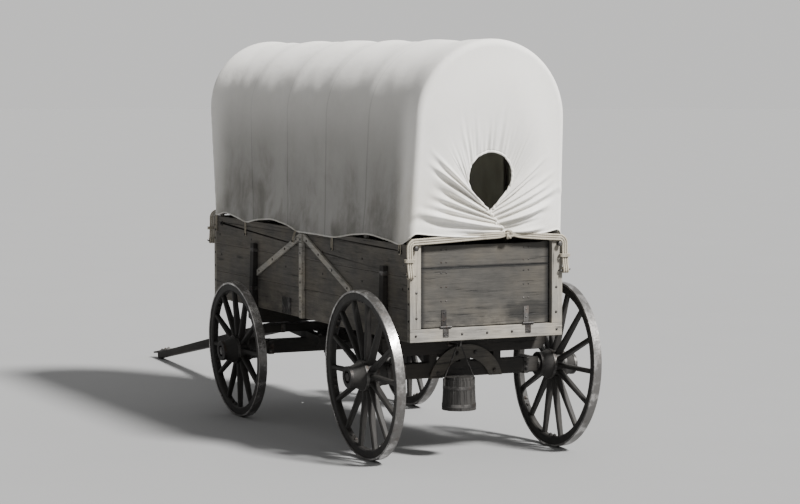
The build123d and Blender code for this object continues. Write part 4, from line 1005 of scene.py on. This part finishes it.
class WAGON_OT_box_fastenings(bpy.types.Operator):
    """Adds the carriage bolts, nuts and rivets of the box and the tailgate"""

    bl_idname = "wagon.box_fastenings"
    bl_label = "Box Fastenings"

    def execute(self, context):
        iron = iron_finish("bolt_iron", tuple(context.scene.wagon_tones.iron), (0.15, 0.145, 0.14),
                           0.55, 0.55)
        brace_low, brace_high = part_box("side_braces")
        standard_y, standard_top = brace_high.y, brace_high.z
        half_standard, drop = 0.0395, 0.345
        run = (brace_high.x - brace_low.x) / 2 - half_standard
        rows = [(box_middle, standard_y, standard_top - down)
                for down in (0.045, 0.150, 0.270, 0.375, 0.490, 0.600)]
        rows += [(box_middle + way * (half_standard + run * share), standard_y - 0.010,
                  standard_top - 0.0248 - drop * share)
                 for way in (1, -1) for share in (0.07, 0.33, 0.62, 0.94)]
        rows += spots((box_rear + 0.0225, box_front - 0.0225), half_box,
                      (1.02, 1.14, 1.25, 1.37, 1.48))
        for foot, lean in zip(*bow_feet(context.scene.wagon_cover)):
            rows += [(foot + (z - box_top) * lean, half_box, z) for z in (1.24, 1.405)]
        rub_x = front_axle_x - 0.620
        rub = spots((rub_x - 0.070, rub_x + 0.070), half_box + 0.006, (0.890, 0.990))
        rear = (spots(box_rear, (-0.565, -0.20, 0.0, 0.20, 0.565), 0.915)
                + spots(box_rear, (0.560, -0.560), (1.04, 1.22)))
        front = (spots(box_front, (-0.565, 0.565), (0.915, 1.10, 1.25))
                 + spots(box_front, (-0.20, 0.20), 0.915))
        leaves = spots(box_rear - 0.004, beside_hinges(0.012), 0.914)
        boards = spots(box_front - 0.012, beside_hinges(0.018),
                       (1.00, 1.12, 1.20, 1.32, 1.41, 1.52))
        arch_low, arch_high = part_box("arch_brace")
        arch = [(arch_low.x, 0.25 * math.cos(a), arch_high.z - 0.300 + 0.25 * math.sin(a))
                for a in np.radians([24, 73, 107, 156])]
        shapes = [turned_copies(BOLT_HEAD, *both_sides(rows)),
                  turned_copies(RIVET_HEAD, *both_sides(rub)),
                  turned_copies(BOLT_HEAD, rear, (-1, 0, 0)),
                  turned_copies(RIVET_HEAD, leaves, (-1, 0, 0)),
                  turned_copies(BOLT_HEAD, front, (1, 0, 0)),
                  turned_copies(RIVET_HEAD, boards, (1, 0, 0)), *nuts(arch, (-1, 0, 0))]
        make_piece("box_bolts", shapes, iron, "wagon")

        gate = (spots(gate_low.x, beside_hinges(0.020), (1.150, 1.250, 1.350, 1.425, 1.515))
                + spots(gate_low.x - 0.004, (HINGE_SIDE, -HINGE_SIDE), (1.010, 1.068)))
        make_piece("tailgate_rivets", [turned_copies(RIVET_HEAD, gate, (-1, 0, 0))],
                   iron, "tailgate")
        return {"FINISHED"}


class WAGON_OT_gear_irons(bpy.types.Operator):
    """Adds the clips, bands and bolts of the axles, bolsters, hounds and tongue"""

    bl_idname = "wagon.gear_irons"
    bl_label = "Gear Irons"

    @staticmethod
    def axle_clips(axle, x):
        """The two clips of an axle, and their nuts on its rear face."""
        low, high = (corner.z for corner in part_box(axle))
        places = spots(x - 0.053, (-CLIP_SIDE, CLIP_SIDE), (low + 0.035, high - 0.035))
        return ([beam_band(x, y, low, high, 0.040, 0.005) for y in (-CLIP_SIDE, CLIP_SIDE)],
                nuts(places, (-1, 0, 0)))

    @staticmethod
    def stake_bands():
        """Two bands round each bolster stake, narrower towards its top."""
        low, high = (corner.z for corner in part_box("bolster_stakes"))
        inner = half_box + 0.004
        bands = []
        for x, side, share in product((rear_axle_x, front_axle_x), (1, -1), (0.30, 0.90)):
            z = low + share * (high - low)
            outer = inner + 0.050 - 0.016 * share
            corners = [(x + way * 0.032, side * y, z)
                       for way, y in ((-1, inner), (1, inner), (1, outer), (-1, outer))]
            bands.append(iron_band(corners[::side], (0, 0, 1), 0.030, 0.0025, 0.003))
        return bands

    def execute(self, context):
        iron = iron_finish("clip_iron", tuple(context.scene.wagon_tones.iron), (0.14, 0.135, 0.13),
                           0.58, 0.5)
        clips, clip_nuts = self.axle_clips("rear_axle", rear_axle_x)
        hound_band = [(rear_axle_x + 0.620, y, z) for y, z in (
            (-0.0670, 0.6560), (-0.0670, 0.7350), (0.0670, 0.7350), (0.0670, 0.6560))]
        make_piece("rear_gear_irons",
                   [*clips, *clip_nuts, *self.stake_bands(),
                    iron_band(hound_band, (1, 0, 0), 0.038, 0.004)],
                   iron, "wagon", smooth=False)

        clips, clip_nuts = self.axle_clips("front_axle", front_axle_x)
        low, high = (corner.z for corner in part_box("sand_board"))
        board_bands = [beam_band(front_axle_x, y, low, high, 0.036, 0.0045)
                       for y in (-0.400, 0.400)]
        sway_x = sum(corner.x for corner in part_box("sway_bar")) / 2
        sway_nuts = nuts(spots(sway_x, (-0.240, 0.240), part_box("front_hounds")[1].z),
                         (0, 0, 1), (1, 0, 0))
        make_piece("front_gear_irons", [*clips, *board_bands, *clip_nuts, *sway_nuts],
                   iron, "front_gear", smooth=False)

        along = np.array([math.cos(TONGUE_SLOPE), 0, -math.sin(TONGUE_SLOPE)])
        square = np.array([math.sin(TONGUE_SLOPE), 0, math.cos(TONGUE_SLOPE)])
        places = [EYE_MIDDLE - along * back + square * 0.007 for back in (0.120, 0.210, 0.300)]
        make_piece("tongue_bolts", nuts(places, square, along), iron, "tongue",
                   smooth=False)
        return {"FINISHED"}


class WAGON_OT_wheel_irons(bpy.types.Operator):
    """Adds the tyre bolts with their nuts inside the felloes, and the nails of the hub bands"""

    bl_idname = "wagon.wheel_irons"
    bl_label = "Wheel Irons"

    # radius of a hub band, distance of its middle from the spokes' seat
    HUB_BANDS = [(0.088, -0.131), (0.112, -0.042), (0.112, 0.042), (0.078, 0.149)]
    RIM, HUB_RADIUS = 0.014 + 0.060, 0.108      # tyre and felloe together, seat of the spokes

    def execute(self, context):
        iron = iron_finish("wheel_bolt_iron", tuple(context.scene.wagon_tones.iron),
                           (0.14, 0.135, 0.13), 0.6, 0.5)
        for name, radius, spokes in WHEELS:
            middle = np.array(sum(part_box(f"{name}_tyre"), Vector()) / 2)
            side = 1 if middle[1] > 0 else -1
            outboard = np.array([0, side * math.cos(WHEEL_CANT), -math.sin(WHEEL_CANT)])
            across = np.array([1.0, 0, 0])
            upward = np.cross(outboard, across)
            joint = math.pi / spokes + np.arange(spokes // 2) * 4 * math.pi / spokes
            turns = [np.concatenate([joint - 0.055, joint + 0.055])[:, None],
                     (np.arange(6) * math.pi / 3 + 0.2)[:, None]]
            ways, nail_ways = (np.cos(turn) * across + np.sin(turn) * upward for turn in turns)
            inside = radius - self.RIM
            shapes = nuts(middle + inside * ways, -ways, outboard)
            seat = -(inside - self.HUB_RADIUS) * math.tan(WHEEL_CANT)
            for band_radius, off in self.HUB_BANDS:
                places = middle + (seat + off) * outboard + band_radius * nail_ways
                shapes.append(turned_copies(NAIL_HEAD, places, nail_ways))
            make_piece(f"{name}_wheel_bolts", shapes, iron, f"{name}_wheel", smooth=False)
        return {"FINISHED"}


def dress(material, *names):
    """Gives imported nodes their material."""
    for name in names:
        slots = frame["nodes"][name].data.materials
        slots.clear()
        slots.append(material)


class WAGON_OT_finishes(bpy.types.Operator):
    """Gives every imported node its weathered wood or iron"""

    bl_idname = "wagon.finishes"
    bl_label = "Wood and Iron"

    WORN = ("side_boards", "head_boards", "tailgate_boards", "corner_posts", "end_sills",
            "side_braces", "bolster_stakes", "rear_bolster", "front_bolster")

    def execute(self, context):
        tones = context.scene.wagon_tones
        boards, gate, framing, pale, gear, iron, tread = (
            tuple(getattr(tones, name))
            for name in ("boards", "gate", "frame", "pale", "gear", "iron", "tread"))
        gap = 0.002             # between two boards
        gate_board = 0.438      # pitch of the tailgate's boards
        dress(board_finish("side_wood", boards, 0, 2, box_bottom, (box_top - box_bottom + gap) / 3,
                           box_bottom, 0.35), "side_boards")
        dress(board_finish("head_wood", boards, 1, 2, sill_top, (box_top - sill_top + gap) / 3,
                           wear=0.5), "head_boards")
        dress(board_finish("gate_wood", gate, 1, 2, gate_high.z - 0.157 - gate_board, gate_board,
                           sill_top - 0.12, -0.85,
                           # a dark patch, and painted shade at the gate's ends beside the corner
                           # posts
                           (-0.34, 1.060, 0.21, 0.070, gate_high.y - 0.010)),
              "tailgate_boards", "tailgate_battens")
        dress(board_finish("floor_wood", boards, 0, 1, -half_box, 0.167, wear=0.5),
              "floor_boards", "cross_sills")
        dress(board_finish("post_wood", framing, 2, 1, -0.7, 0.35, sill_top - 0.1),
              "corner_posts")
        dress(board_finish("sill_wood", framing, 1, 0, box_rear - 1.0, 2.0), "end_sills")
        dress(board_finish("brace_wood", pale, 0, 2), "side_braces")
        dress(board_finish("arch_wood", tinted(framing, 0.34, 0.33, 0.32), 1, 0), "arch_brace")
        dress(board_finish("bow_wood", framing, 2, 0), "bows", "ridge_pole")
        dress(board_finish("gear_wood", gear, 1, 0), "rear_axle", "rear_bolster", "front_axle",
              "front_bolster", "sand_board", "sway_bar", "bolster_stakes")
        dress(board_finish("pole_wood", gear, 0, 1), "reach", "rear_hounds", "front_hounds",
              "tongue")
        dress(stave_finish("stave_wood", gear, sum(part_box("tar_bucket"), Vector()) / 2, 16),
              "tar_bucket")
        forged = iron_finish("forged_iron", iron, (0.16, 0.155, 0.15), 0.56)
        dress(forged, "rear_axle_arms", "front_axle_arms", "king_bolt", "bucket_arm", "box_irons",
              "wear_plate", "tongue_pin", "draw_eye", "tailgate_straps", "bucket_hoops",
              "bucket_bail")
        worn_tread = iron_finish("tread_iron", tread, (0.50, 0.49, 0.48), 0.34, 0.25)
        for name, _, _ in WHEELS:
            middle = sum(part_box(f"{name}_tyre"), Vector()) / 2
            lean = math.copysign(WHEEL_CANT, middle.y)
            dress(wheel_finish(f"{name}_wood", gear, middle, lean), f"{name}_hub",
                  f"{name}_spokes", f"{name}_felloes")
            dress(forged, f"{name}_hub_bands")
            dress(worn_tread, f"{name}_tyre")
        for name in self.WORN:
            join = frame["nodes"][name].modifiers.new("joined_corners", "WELD")
            join.merge_threshold = 0.0001
            worn = frame["nodes"][name].modifiers.new("worn_edges", "BEVEL")
            worn.width = 0.0035
            worn.segments = 2
            worn.limit_method = "ANGLE"
            worn.angle_limit = math.radians(40)
        return {"FINISHED"}


class WAGON_OT_stage(bpy.types.Operator):
    """Sets the floor, the soft lights and the camera"""

    bl_idname = "wagon.stage"
    bl_label = "Stage"

    def execute(self, context):
        scene, sizes = context.scene, context.scene.wagon_stage
        turn = np.linspace(0, 2 * np.pi, 96, endpoint=False)
        rings = np.array([0.01, 12.0, 40.0, 120.0])[:, None]
        disc = np.stack([rings * np.cos(turn), rings * np.sin(turn), 0 * rings * turn - 0.0005],
                        axis=-1)
        mesh = bpy.data.meshes.new("floor")
        mesh.from_pydata(disc.reshape(-1, 3).tolist(), [],
                         grid_faces(len(rings), len(turn), False, True).tolist())
        floor = bpy.data.objects.new("floor", mesh)
        ground = Finish("floor", Roughness=0.95)
        dust = ground.noise(ground.place(), 0.9, 5.0, 0.6)
        ground.feed(Base_Color=ground.shaded(tuple(sizes.floor), 0.97 + dust * 0.06))
        mesh.materials.append(ground.material)

        scene.world = bpy.data.worlds.new("studio")
        scene.world.use_nodes = True
        sky = NodeMaker(scene.world.node_tree, "Background")
        _, left, _ = sky.axes(sky.node("ShaderNodeTexCoord", output="Generated"))
        sky.feed(Color=(0.94, 0.935, 0.925, 1),
                 Strength=sizes.sky + left.rise(-0.35, 0.75) * (sizes.shade - sizes.sky))

        sun = bpy.data.lights.new("sun", "SUN")
        sun.energy = sizes.sun
        sun.angle = math.radians(9)
        sun.color = (1.0, 0.985, 0.96)
        lamp = bpy.data.objects.new("sun", sun)
        lamp.rotation_euler = Vector((0.80, 0.42, -0.95)).to_track_quat("-Z", "Y").to_euler()

        camera = bpy.data.cameras.new("camera")
        camera.lens = sizes.lens
        camera.shift_x = -0.003
        camera.shift_y = -0.0176
        camera.clip_end = 300
        eye = bpy.data.objects.new("camera", camera)
        eye.location = (rear_axle_x - sizes.camera_distance * math.cos(sizes.camera_turn),
                        sizes.camera_distance * math.sin(sizes.camera_turn), sizes.camera_height)
        aim = Vector((rear_axle_x + 1.0, 0.0, 1.5))
        eye.rotation_euler = (aim - eye.location).to_track_quat("-Z", "Y").to_euler()
        for made in (floor, lamp, eye):
            scene.collection.objects.link(made)
        scene.camera = eye
        return {"FINISHED"}


OPERATORS = (WAGON_OT_finishes, WAGON_OT_canvas_cover, WAGON_OT_tie_ropes,
             WAGON_OT_box_fastenings, WAGON_OT_gear_irons, WAGON_OT_wheel_irons, WAGON_OT_stage)


class WAGON_PT_sidebar(bpy.types.Panel):
    """Lists the wagon's steps."""

    bl_label = "Covered Wagon"
    bl_idname = "WAGON_PT_sidebar"
    bl_space_type = "VIEW_3D"
    bl_region_type = "UI"
    bl_category = "Wagon"

    def draw(self, context):
        for operator in OPERATORS:
            self.layout.operator(operator.bl_idname)


CLASSES = (CoverSizes, WagonTones, StageSizes, *OPERATORS, WAGON_PT_sidebar)


def register():
    for cls in CLASSES:
        bpy.utils.register_class(cls)
    bpy.types.Scene.wagon_cover = PointerProperty(type=CoverSizes)
    bpy.types.Scene.wagon_tones = PointerProperty(type=WagonTones)
    bpy.types.Scene.wagon_stage = PointerProperty(type=StageSizes)


def unregister():
    del bpy.types.Scene.wagon_cover
    del bpy.types.Scene.wagon_tones
    del bpy.types.Scene.wagon_stage
    for cls in reversed(CLASSES):
        bpy.utils.unregister_class(cls)


def main():
    """Registers the add-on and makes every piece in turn."""
    register()
    bpy.ops.wagon.finishes()
    bpy.ops.wagon.canvas_cover()
    bpy.ops.wagon.tie_ropes()
    bpy.ops.wagon.box_fastenings()
    bpy.ops.wagon.gear_irons()
    bpy.ops.wagon.wheel_irons()
    bpy.ops.wagon.stage()


if __name__ == "__main__":
    main()
